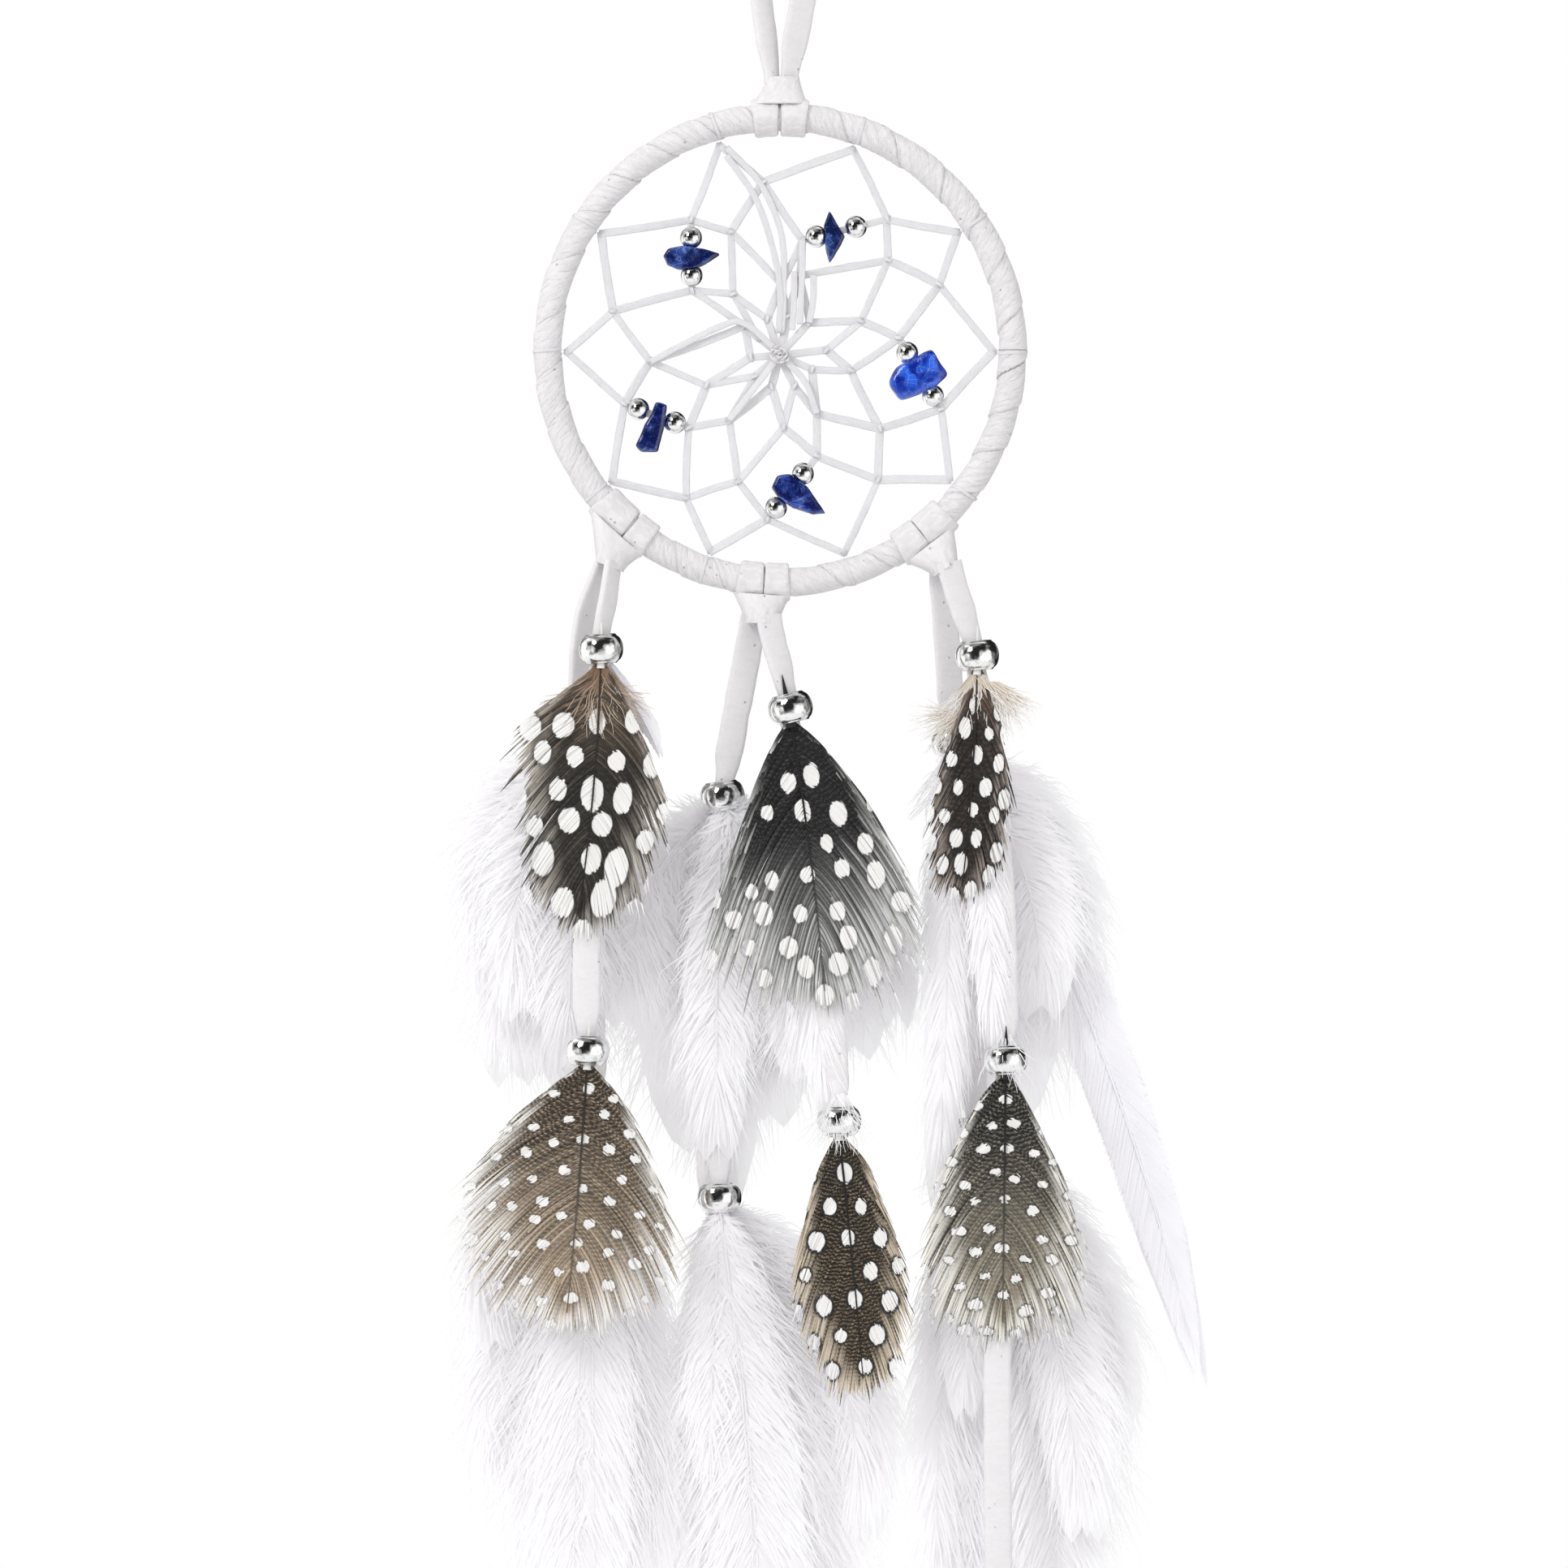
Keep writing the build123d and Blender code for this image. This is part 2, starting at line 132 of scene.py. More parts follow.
class Shade(Nodes):
    """A procedural material. Its textures are laid out in the piece's own millimetres."""

    def __init__(self, name):
        self.material = bpy.data.materials.new(name)
        super().__init__(self.material)
        self.shader = self.add("BsdfPrincipled")
        self.out = self.add("OutputMaterial", {0: self.shader.outputs[0]})
        where = self.add("TexCoord").outputs["Object"]
        self.place = self.add("VectorMath", {0: where, "Scale": 1 / MM}, operation="SCALE").outputs[0]

    def value(self, name):
        return self.add("Attribute", attribute_name=name).outputs["Fac"]

    def vector(self, name):
        return self.add("Attribute", attribute_name=name).outputs["Vector"]

    def stretch(self, place, sizes):
        return self.add("VectorMath", {0: place, 1: sizes}, operation="MULTIPLY").outputs[0]

    def noise(self, place, scale, detail=3.0, distortion=0.0):
        inputs = {"Vector": place, "Scale": scale, "Detail": detail, "Distortion": distortion}
        return self.add("TexNoise", inputs).outputs["Fac"]

    def cells(self, place, scale, feature="F1"):
        return self.add("TexVoronoi", {"Vector": place, "Scale": scale}, feature=feature).outputs["Distance"]

    def math(self, operation, a, b=0.0):
        return self.add("Math", {0: a, 1: b}, operation=operation).outputs[0]

    def span(self, value, low, high, to_low=0.0, to_high=1.0):
        inputs = {"Value": value, "From Min": low, "From Max": high, "To Min": to_low, "To Max": to_high}
        return self.add("MapRange", inputs, interpolation_type="SMOOTHSTEP").outputs[0]

    def mix(self, amount, first, second, blend="MIX"):
        inputs = {"Fac": amount, "Color1": first, "Color2": second}
        return self.add("MixRGB", inputs, blend_type=blend).outputs[0]

    def times(self, colour, amount):
        """The colour made darker or lighter by one number."""
        grey = self.add("CombineColor", {0: amount, 1: amount, 2: amount}).outputs[0]
        return self.mix(1.0, colour, grey, "MULTIPLY")

    def bump(self, height, distance, strength=1.0, under=None):
        inputs = {"Height": height, "Distance": distance * MM, "Strength": strength}
        if under is not None:
            inputs["Normal"] = under
        return self.add("Bump", inputs).outputs[0]

    def finish(self, colour, roughness, normal=None, **inputs):
        self.feed(self.shader.inputs["Base Color"], colour)
        self.feed(self.shader.inputs["Roughness"], roughness)
        if normal is not None:
            self.feed(self.shader.inputs["Normal"], normal)
        for key, value in inputs.items():
            self.feed(self.shader.inputs[key.replace("_", " ")], value)
        return self.material


def lace_leather(name, wrinkle, shade=(0.71, 0.695, 0.70)):
    """White leatherette: soft creases, pores and a few pinholes. The creases' and pinholes' hollows get
    painted shade.
    """
    s = Shade(name)
    along = s.stretch(s.vector("lay"), (1.0, 0.35, 1.0))
    creases = s.noise(along, 1.1, 5.0, 0.8)
    fine = s.noise(s.place, 5.0, 4.0)
    pits = s.span(s.cells(s.place, 0.36), 0.045, 0.09)
    pores = s.cells(s.place, 3.4)
    # Painted shade: the colour goes to the shade colour in the hollows of the creases, and partly in those of
    # the fine bumps.
    colour = s.mix(s.span(creases, 0.35, 0.62), shade, (0.79, 0.775, 0.785))
    colour = s.mix(s.span(fine, 0.3, 0.7), s.mix(0.3, colour, shade), colour)
    # Painted shade: the pinholes are painted dark, as their hollows would lie in shadow.
    colour = s.mix(pits, (0.50, 0.48, 0.52), colour)
    normal = s.bump(creases, 0.45 * wrinkle)
    normal = s.bump(fine, 0.08, 0.8, normal)
    normal = s.bump(pores, 0.05, 0.5, normal)
    normal = s.bump(pits, 0.2, 0.8, normal)
    rough = s.span(fine, 0.3, 0.7, 0.5, 0.68)
    return s.finish(colour, rough, normal, Specular_IOR_Level=0.35)


def thread_fabric(name):
    """A flat, glassy white synthetic thread with fine threads along it."""
    s = Shade(name)
    strands = s.noise(s.stretch(s.vector("lay"), (0.5, 9.0, 1.0)), 1.0, 3.0)
    patches = s.noise(s.place, 0.9, 4.0)
    colour = s.mix(s.span(strands, 0.35, 0.65), (0.75, 0.74, 0.765), (0.85, 0.84, 0.86))
    colour = s.mix(s.span(patches, 0.45, 0.65), colour, (0.81, 0.80, 0.825))
    normal = s.bump(strands, 0.12, 0.9)
    return s.finish(colour, s.span(patches, 0.3, 0.7, 0.3, 0.5), normal, Transmission_Weight=0.12)


def blue_stone(name, deep, bright, patch_scale):
    """Tumbled sodalite: deep blue with lighter clouds and pale veins, polished."""
    s = Shade(name)
    clouds = s.noise(s.place, patch_scale, 6.0, 0.7)
    grains = s.noise(s.place, 3.2, 5.0, 0.4)
    veins = s.cells(s.stretch(s.place, (1.0, 1.0, 1.6)), 0.55, "DISTANCE_TO_EDGE")
    colour = s.mix(s.span(clouds, 0.42, 0.66), deep, bright)
    colour = s.mix(s.span(grains, 0.58, 0.74, 0.0, 0.4), colour, (0.10, 0.20, 0.60))
    pale = s.math("MULTIPLY", s.span(veins, 0, 0.05, 1, 0), s.span(clouds, 0.45, 0.6, 0, 0.28))
    colour = s.mix(pale, colour, (0.45, 0.52, 0.72))
    normal = s.bump(grains, 0.08, 0.6)
    normal = s.bump(clouds, 0.5, 0.5, normal)
    rough = s.span(grains, 0.3, 0.7, 0.08, 0.22)
    return s.finish(colour, rough, normal, Coat_Weight=0.6, Coat_Roughness=0.06)


def silver(name, roughness, dents):
    """Bright silver plate with slight dents, fine scratches and a trace of tarnish."""
    s = Shade(name)
    dips = s.noise(s.place, 0.55, 2.0)
    scratches = s.noise(s.stretch(s.place, (1.0, 1.0, 9.0)), 2.2, 4.0)
    tarnish = s.noise(s.place, 1.3, 5.0)
    colour = s.mix(s.span(tarnish, 0.52, 0.72), (0.90, 0.90, 0.90), (0.62, 0.64, 0.60))
    normal = s.bump(dips, dents)
    normal = s.bump(scratches, 0.02, 0.5, normal)
    rough = s.span(scratches, 0.3, 0.7, roughness * 0.7, roughness * 1.4)
    return s.finish(colour, rough, normal, Metallic=1.0)


def spotted_vane(name, top, low, edge, grain, grain_size, rim, turn, barb_side_shade=0.62, bar=None):
    """A guinea fowl feather: dark barbs, pale round spots with a dark rim, and fine pale bars. It goes from
    top to low over the part of its length named by turn, and to edge at the barbs' ends. Painted shade
    darkens one side of each barb, to gap times its colour at that edge."""
    s = Shade(name)
    along, reach, barb, mark = (s.value(name) for name in ("along", "reach", "barb", "spot"))
    vane_place = s.vector("vane")
    colour = s.mix(s.span(along, *turn), top, low)
    flank = s.value("flank")
    # Painted shade: each barb darkens towards one of its edges, as if shaded by its neighbour; barb also
    # gives each its own random tone.
    tone_and_side_shade = s.math("MULTIPLY", s.span(barb, 0.0, 1.0, 0.6, 1.4), s.span(flank, 0.1, 0.6, barb_side_shade, 1.15))
    colour = s.times(colour, tone_and_side_shade)
    from_foot = s.add("VectorMath", {0: vane_place}, operation="LENGTH").outputs["Value"]
    wander = s.noise(vane_place, 0.9, 3.0)
    phase = s.math("ADD", s.math("MULTIPLY", from_foot, grain_size * 5.2), s.math("MULTIPLY", wander, 9.0))
    bars = s.math("SINE", s.math("ADD", phase, s.math("MULTIPLY", barb, 3.4)))
    # The pale bars are dimmed on the same painted-shade side of each barb.
    speckle = s.math("MULTIPLY", s.span(bars, -0.1, 0.75), s.span(flank, 0.15, 0.5, 0.3, 1.0))
    colour = s.mix(s.math("MULTIPLY", speckle, grain), colour, bar or edge)
    fringe = s.math("MULTIPLY", s.span(reach, 0.5, 0.97, 0.0, 0.95), s.span(barb, 0.15, 0.5, 0.12, 1.0))
    colour = s.mix(fringe, colour, edge)
    colour = s.mix(s.math("MULTIPLY", s.span(mark, -0.55, -0.1), rim), colour, (0.012, 0.01, 0.009))
    colour = s.mix(s.span(mark, -0.06, 0.07), colour, (0.83, 0.82, 0.80))
    streak = s.noise(s.stretch(vane_place, (4.0, 1.0, 1.0)), 1.6, 3.0)
    return s.finish(colour, s.span(streak, 0.3, 0.7, 0.55, 0.8), s.bump(streak, 0.1, 0.6), Sheen_Weight=0.15)


def down(name, root, tip, through=0.0):
    """Soft barbs that change from root to tip, and that let a share of the light through."""
    s = Shade(name)
    reach = s.value("reach")
    barb = s.value("barb")
    clouds = s.noise(s.place, 0.16, 3.0)
    streak = s.noise(s.place, 3.0, 3.0)
    colour = s.mix(s.span(reach, 0.1, 0.9), root, tip)
    uneven = s.math("ADD", s.math("MULTIPLY", barb, 0.5), s.math("MULTIPLY", clouds, 0.5))
    dim = s.span(uneven, 0.2, 0.8, 0.988, 1.0)
    colour = s.times(colour, dim)
    rough = s.span(streak, 0.3, 0.7, 0.7, 0.9)
    material = s.finish(colour, rough, s.bump(streak, 0.06, 0.5), Specular_IOR_Level=0.1)
    if through:
        passing = s.add("BsdfTranslucent", {"Color": colour})
        both = s.add("MixShader", {0: through, 1: s.shader.outputs[0], 2: passing.outputs[0]})
        s.feed(s.out.inputs[0], both.outputs[0])
    return material


# Leathers for the laces, with painted shade in their crease hollows; the tails' painted shade is lighter.
wrap_leather = lace_leather("wrap leather", 1.0)
knot_leather = lace_leather("knot leather", 0.5)
tail_leather = lace_leather("tail leather", 0.12, shade=(0.76, 0.745, 0.755))
web_fabric = thread_fabric("web thread")
ball_chrome = silver("ball chrome", 0.07, 0.05)
bead_silver = silver("bead silver", 0.09, 0.12)
quill_horn = down("quill horn", (0.80, 0.79, 0.76), (0.72, 0.71, 0.69))
dark_quill = down("dark quill", (0.03, 0.028, 0.026), (0.10, 0.09, 0.08))
white_down = down("white down", (0.992, 0.987, 0.995), (0.998, 0.995, 1.0), through=0.45)
hackle_down = down("hackle down", (0.90, 0.892, 0.925), (0.93, 0.92, 0.945))
tan_down = down("tan down", (0.26, 0.17, 0.11), (0.55, 0.46, 0.38))
cream_down = down("cream down", (0.70, 0.62, 0.52), (0.88, 0.86, 0.84))


# ---- Meshes ----

def piece(name, points, faces, values, material, slot, body=None, stands_for=()):
    """A mesh object from points in millimetres. values are numbers or vectors kept for each point."""
    points = np.asarray(points, float).reshape(-1, 3) * MM
    mesh = bpy.data.meshes.new(name)
    mesh.from_pydata(points.tolist(), [], np.asarray(faces).tolist())
    for key, value in values.items():
        value = np.asarray(value, np.float32)
        kind, word = ("FLOAT", "value") if value.ndim == 1 else ("FLOAT_VECTOR", "vector")
        mesh.attributes.new(key, kind, "POINT").data.foreach_set(word, value.ravel())
    mesh.polygons.foreach_set("use_smooth", [True] * len(mesh.polygons))
    mesh.materials.append(material)
    mesh.update()
    made = placed(name, mesh)
    if stands_for:
        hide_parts(*stands_for)
    if body:
        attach(made, body)
    return made


def grid(rows, columns, loop_rows=False, loop_columns=False):
    """Quads of a grid of points, closed on itself where it loops."""
    i = np.arange(rows if loop_rows else rows - 1)[:, None]
    j = np.arange(columns if loop_columns else columns - 1)[None, :]
    after_i, after_j = (i + 1) % rows, (j + 1) % columns
    quads = [i * columns + j, i * columns + after_j, after_i * columns + after_j, after_i * columns + j]
    return np.stack(np.broadcast_arrays(*quads), -1).reshape(-1, 4)


def joined(parts):
    """(points, faces, values) of several meshes as one."""
    points, faces, values, first = [], [], {}, 0
    for part_points, part_faces, part_values in parts:
        part_points = np.asarray(part_points).reshape(-1, 3)
        points.append(part_points)
        faces.append(np.asarray(part_faces) + first)
        for key, value in part_values.items():
            values.setdefault(key, []).append(value)
        first += len(part_points)
    return np.vstack(points), np.vstack(faces), {k: np.concatenate(v) for k, v in values.items()}


def strip_faces(count, steps):
    """Quads of count narrow strips that are each steps pairs of points."""
    number = np.arange(count * steps * 2).reshape(count, steps, 2)
    left, right = number[..., 0], number[..., 1]
    return np.stack([left[:, :-1], right[:, :-1], right[:, 1:], left[:, 1:]], -1).reshape(-1, 4)


def rough_noise(points, scale):
    """Smooth noise from -1 to 1 at each point."""
    return np.array([noise.noise(Vector(p) * scale) for p in np.asarray(points).reshape(-1, 3)])


def smooth_step(x):
    x = np.clip(x, 0, 1)
    return x * x * (3 - 2 * x)


def catmull(points, count):
    """A smooth line through points, count places along it evenly in length."""
    points = np.asarray(points, float)
    ends = np.vstack([2 * points[0] - points[1], points, 2 * points[-1] - points[-2]])
    line = []
    for a, b, c, d in zip(ends, ends[1:], ends[2:], ends[3:]):
        for t in np.linspace(0, 1, 24, endpoint=False):
            line.append(0.5 * (2 * b + (c - a) * t + (2 * a - 5 * b + 4 * c - d) * t**2
                               + (3 * b - 3 * c + d - a) * t**3))
    line.append(points[-1])
    return evenly(np.array(line), count)


def how_far(line):
    """The length along a line to each of its points."""
    return np.concatenate([[0], np.cumsum(np.linalg.norm(np.diff(line, axis=0), axis=1))])


def evenly(line, count):
    far = how_far(line)
    at = np.linspace(0, far[-1], count)
    return np.stack([np.interp(at, far, line[:, k]) for k in range(line.shape[1])], 1)


def unit(vectors):
    return vectors / np.linalg.norm(vectors, axis=-1, keepdims=True)


def beside(line, facing):
    """For each point of a line, its direction, its side and the way out that is nearest to facing."""
    along = unit(np.gradient(line, axis=0))
    side = unit(np.cross(along, facing))
    return along, side, np.cross(side, along)


def tilted(points, tilt):
    """The points turned by tilt, in radians, in the hoop's plane."""
    turnover = [[math.cos(tilt), 0, math.sin(tilt)], [0, 1, 0], [-math.sin(tilt), 0, math.cos(tilt)]]
    return points @ np.array(turnover)


def band(line, width, thickness, twist, cup=0.0, ragged=0.0, facing=(0, 1, 0)):
    """A flat strip that follows a line. width, thickness, twist and cup are numbers or one for each place.
    twist turns it about the line, and cup curls its edges backwards."""
    count = len(line)
    _, side, out = beside(line, np.broadcast_to(np.asarray(facing, float), (count, 3)))
    turn = np.radians(np.broadcast_to(twist, count))[:, None]
    across = np.cos(turn) * side + np.sin(turn) * out
    normal = -np.sin(turn) * side + np.cos(turn) * out
    w = np.broadcast_to(width, count)[:, None] / 2
    h = np.broadcast_to(thickness, count)[:, None] / 2
    curl = np.broadcast_to(cup, count)[:, None]
    flat = np.linspace(-1, 1, 9)
    shape = [(f, 1.0) for f in flat * 0.94] + [(1.0, 0.4), (1.0, -0.4)]
    shape += [(f, -1.0) for f in flat[::-1] * 0.94] + [(-1.0, -0.4), (-1.0, 0.4)]
    shape = np.array(shape)
    far = how_far(line)
    a = shape[None, :, 0] * w
    if ragged:
        edge = rough_noise([(f * 0.35, s * 9.0, line[0][0]) for f in far for s in (-1, 1)], 1.0)
        edge = edge.reshape(-1, 2)
        a = a + np.where(shape[None, :, 0] > 0, edge[:, 1:], edge[:, :1]) * ragged * np.abs(shape[None, :, 0])
    b = shape[None, :, 1] * h + curl * (shape[None, :, 0] ** 2) * w
    points = line[:, None] + across[:, None] * a[..., None] + normal[:, None] * b[..., None]
    lay = np.stack([np.broadcast_to(far[:, None], a.shape), a, b], -1).reshape(-1, 3)
    faces = grid(count, len(shape), loop_columns=True)
    rim = np.arange(len(shape))
    fans = [cap[[0, k, k + 1, k + 2]] for cap in (rim[::-1], (count - 1) * len(shape) + rim)
            for k in range(1, len(shape) - 2, 2)]
    return points.reshape(-1, 3), np.vstack([faces, fans]), {"lay": lay}


def built(maker):
    """The mesh that an object's curve or modifiers make. The object goes."""
    bpy.context.view_layer.update()
    shown = maker.evaluated_get(bpy.context.evaluated_depsgraph_get())
    mesh = bpy.data.meshes.new_from_object(shown)
    bpy.data.objects.remove(maker)
    return mesh


def rod(line, radius, sides):
    """A round rod that follows a line, with a radius for each place."""
    count = len(line)
    _, side, out = beside(line, (0, 1, 0))
    turn = circle(sides)
    ring = np.cos(turn)[None, :, None] * side[:, None] + np.sin(turn)[None, :, None] * out[:, None]
    r = np.broadcast_to(radius, count)[:, None, None]
    return (line[:, None] + ring * r).reshape(-1, 3), grid(count, sides, loop_columns=True)


# ---- Cords: the laces' own lines ----

def cord_line(name, route, count):
    """Points along a spline curve whose control points are the route, in millimetres."""
    curve = bpy.data.curves.new(name, "CURVE")
    curve.dimensions = "3D"
    spline = curve.splines.new("NURBS")
    spline.points.add(len(route) - 1)
    for point, place in zip(spline.points, route):
        point.co = (*(np.array(place) * MM), 1.0)
    spline.order_u = 3
    spline.use_endpoint_u = True
    spline.resolution_u = 24
    mesh = built(placed(name, curve))
    line = np.array([v.co for v in mesh.vertices]) / MM
    bpy.data.meshes.remove(mesh)
    bpy.data.curves.remove(curve)
    return evenly(line, count)


def lace_cord(name, line, width, thickness, twist, cup):
    strip = band(line, width, thickness, twist, cup, ragged=0.16)
    made = piece(name, *strip, tail_leather, "white_lace")
    return made


lace_width = 5.0
lace_thickness = 1.1
width_in_bead = 3.3

# The hanging loop, from the knot up, over the top and down again.
loop_route = [
    (-1.1, 0, -66.5), (-1.4, 0, -62.5), (-3.0, 0, -51), (-4.6, 0, -36), (-6.6, 0, -21),
    (-6.6, 0, -9.5), (-5.3, 0, -3.2), (-2.2, 0, 0.6), (2.2, 0, 0.6), (5.3, 0, -3.2), (6.8, 0, -9.5),
    (7.0, 0, -21), (6.4, 0, -36), (4.3, 0, -51), (2.2, 0, -61.5), (1.5, 0, -66.5)]
loop_line = cord_line("hanging lace line", loop_route, 420)
loop_height = loop_line[:, 2]
loop_far = np.linspace(0, 1, len(loop_line))
loop_right = loop_far > 0.5
facing_front = smooth_step((-14 - loop_height) / 30)
loop_twist = np.where(loop_right, 90 - facing_front * 66, 90 + facing_front * 42)
loop_squeeze = smooth_step((-58 - loop_height) / 7)
loop_width = lace_width - 1.7 * loop_squeeze
loop_cup = np.where(loop_right, 0.04, -0.30) * facing_front
hanging_lace = lace_cord("hanging_lace_strip", loop_line, loop_width, lace_thickness, loop_twist,
                         loop_cup)
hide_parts("hanging_lace")
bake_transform(hanging_lace)


class Tail:
    """A lace that hangs from a tie. Its bends are (x, z) places, and twists are its turns in degrees below
    the tie, above and below the upper bead, above and below the lower bead, and at its end."""

    def __init__(self, name, top, bends, lower_bends, twists, end=()):
        self.name = name
        y = front_lace_y if name.endswith("front") else rear_lace_y
        self.upper_bead = middle(name + "_upper_bead")
        self.lower_bead = middle(name + "_lower_bead")
        route = list(top + bends)
        for bead, after in ((self.upper_bead, lower_bends), (self.lower_bead, list(end))):
            route += [(bead[0], bead[2] + 1), (bead[0], bead[2] - 3)] + after
        line = cord_line(name + " line", [(x, y, z) for x, z in route], 120 + 90 * len(route))
        z = line[:, 2]
        places = [top[0][1], self.upper_bead[2] + 5, self.upper_bead[2] - 8, self.lower_bead[2] + 8]
        places += [self.lower_bead[2] - 4, end[-1][1] if end else self.lower_bead[2] - 6]
        twist = np.interp(-z, -np.array(places), twists)
        near = np.minimum(np.abs(z - self.upper_bead[2]), np.abs(z - self.lower_bead[2]))
        width = width_in_bead + (lace_width - width_in_bead) * smooth_step((near - 2.2) / 6.0)
        thickness = lace_thickness + 0.5 * (1 - smooth_step((near - 2.2) / 5.0))
        cup = 0.10 + 0.16 * (1 - smooth_step((near - 2.0) / 7.0))
        made = lace_cord(name + "_strip", line, width, thickness, twist, cup)
        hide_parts(name + "_upper_lace", name + "_lower_lace")
        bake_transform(made)


tails = [
    Tail("left_front", [(-30.2, -153.6), (-30.6, -157.0)], [(-31.4, -162)],
         [(-34, -190), (-35.3, -215)], [64, 56, 12, 4, 6, 0]),
    Tail("left_rear", [(-31.6, -153.6), (-33.2, -157.5)], [(-35.6, -163), (-36.6, -172)],
         [(-36.4, -205), (-34.6, -230)], [52, 50, 20, 14, 0, 0]),
    Tail("centre_front", [(-2.0, -163.4), (-1.4, -167.5)], [(0.4, -173)],
         [(4.4, -200), (8.2, -226)], [28, 40, 10, 0, 0, 0]),
    Tail("centre_rear", [(-4.6, -163.4), (-5.4, -168)], [(-7.8, -180)],
         [(-11.8, -216), (-11.8, -242)], [12, 6, 4, 0, 0, 0]),
    Tail("right_front", [(30.8, -153.8), (31.8, -158)], [(33.6, -163)],
         [(38.4, -191), (40.6, -218)], [26, 34, 10, 0, 0, 8],
         end=[(40.6, -252), (39.6, -285), (39.5, -318), (40.0, -353)]),
    Tail("right_rear", [(29.6, -153.8), (29.8, -158)], [(30.3, -165), (31.0, -174)],
         [(32.8, -208), (34.8, -233)], [30, 20, 10, 0, 0, 0]),
]


# ---- Hoop: a lace wound round the ring in a spiral ----

def on_tube(angle, round_angle, radius):
    """A point near the tube: angle round the hoop and round_angle round the tube, in radians."""
    far = hoop_radius + radius * np.cos(round_angle)
    return np.stack([hoop_centre[0] + far * np.cos(angle), hoop_centre[1] - radius * np.sin(round_angle),
                     hoop_centre[2] + far * np.sin(angle)], -1)


wrap_turns = 29
wrap_seam = 0.32


def make_wrap():
    around, across = 1400, 60
    angle, tube = np.broadcast_arrays(circle(around)[:, None], circle(across)[None, :])
    uneven = 0.9 * np.sin(3 * angle + 0.7) + 0.5 * np.sin(7 * angle + 2.0)
    turn = wrap_turns * angle + uneven + tube
    # share goes from 0 at a turn's raised edge to 1 where the next turn covers it.
    share = (turn / (2 * np.pi)) % 1.0
    step = wrap_seam * (smooth_step(share / 0.04) * (1 - 0.9 * share))
    bulge = 0.06 * np.sin(np.pi * share)
    number = np.floor(turn / (2 * np.pi)) % wrap_turns
    lift = np.sin(number * 12.9898) * 0.05
    place = np.stack([angle * hoop_radius, tube * tube_radius, number * 3.1], -1).reshape(-1, 3)
    folds = rough_noise(place * [1.0, 0.22, 1.0], 1.15).reshape(angle.shape)
    small = rough_noise(place * [1.0, 0.3, 1.0] + [40, 9, 0], 2.9).reshape(angle.shape)
    # The creases are strongest at two places on the hoop, in radians from its right side.
    strong = 0.3 + 0.9 * np.exp(-((angle - 0.95) / 0.45) ** 2) + 0.75 * np.exp(-((angle - 2.3) / 0.3) ** 2)
    ridges = folds * 0.11 * strong + small * 0.05 * strong
    radius = tube_radius - 0.25 + step + bulge + lift + ridges
    points = on_tube(angle, tube, radius)
    lay = np.stack([turn / (2 * np.pi) * 9.2, tube * tube_radius, number], -1).reshape(-1, 3)
    return points.reshape(-1, 3), grid(around, across, True, True), {"lay": lay}


piece("hoop_wrap_spiral", *make_wrap(), wrap_leather, "white_lace", "hoop", ["hoop_wrap"])


def wrap_band(angle, width, seed):
    """One turn of lace straight across the tube, the outer side of a knot's strand."""
    count, columns = 72, 19
    edges = np.concatenate([[-1, -0.985], np.linspace(-0.95, 0.95, columns - 4), [0.985, 1]])
    tube, across = np.broadcast_arrays(circle(count)[:, None], edges[None, :])
    spot = np.stack([np.cos(tube) * 2.0, across * 1.6, np.sin(tube) * 2.0 + seed * 7.7], -1)
    crease = rough_noise(spot, 1.1).reshape(tube.shape)
    edge = np.abs(across)
    away = 0.92 - 0.22 * smooth_step((edge - 0.8) / 0.2) + 0.12 * crease - 0.5 * (edge > 0.99)
    half = width / 2 * (1 + 0.035 * np.sin(2 * tube[:, :1] + seed)) / hoop_radius
    points = on_tube(np.radians(angle) + across * half, tube, tube_radius + away)
    foot = on_tube(np.radians(angle) + across[:, [0, -1]] * half, tube[:, [0, -1]], tube_radius - 0.4)
    rows = np.concatenate([foot[:, :1], points, foot[:, 1:]], 1)
    lay = np.stack([tube * 2.8, across * width / 2, away], -1)
    lay = np.concatenate([lay[:, :1], lay, lay[:, -1:]], 1).reshape(-1, 3)
    return rows.reshape(-1, 3), grid(count, columns + 2, loop_rows=True), {"lay": lay}


knot_depth = 10.6
knot_wall = 0.75


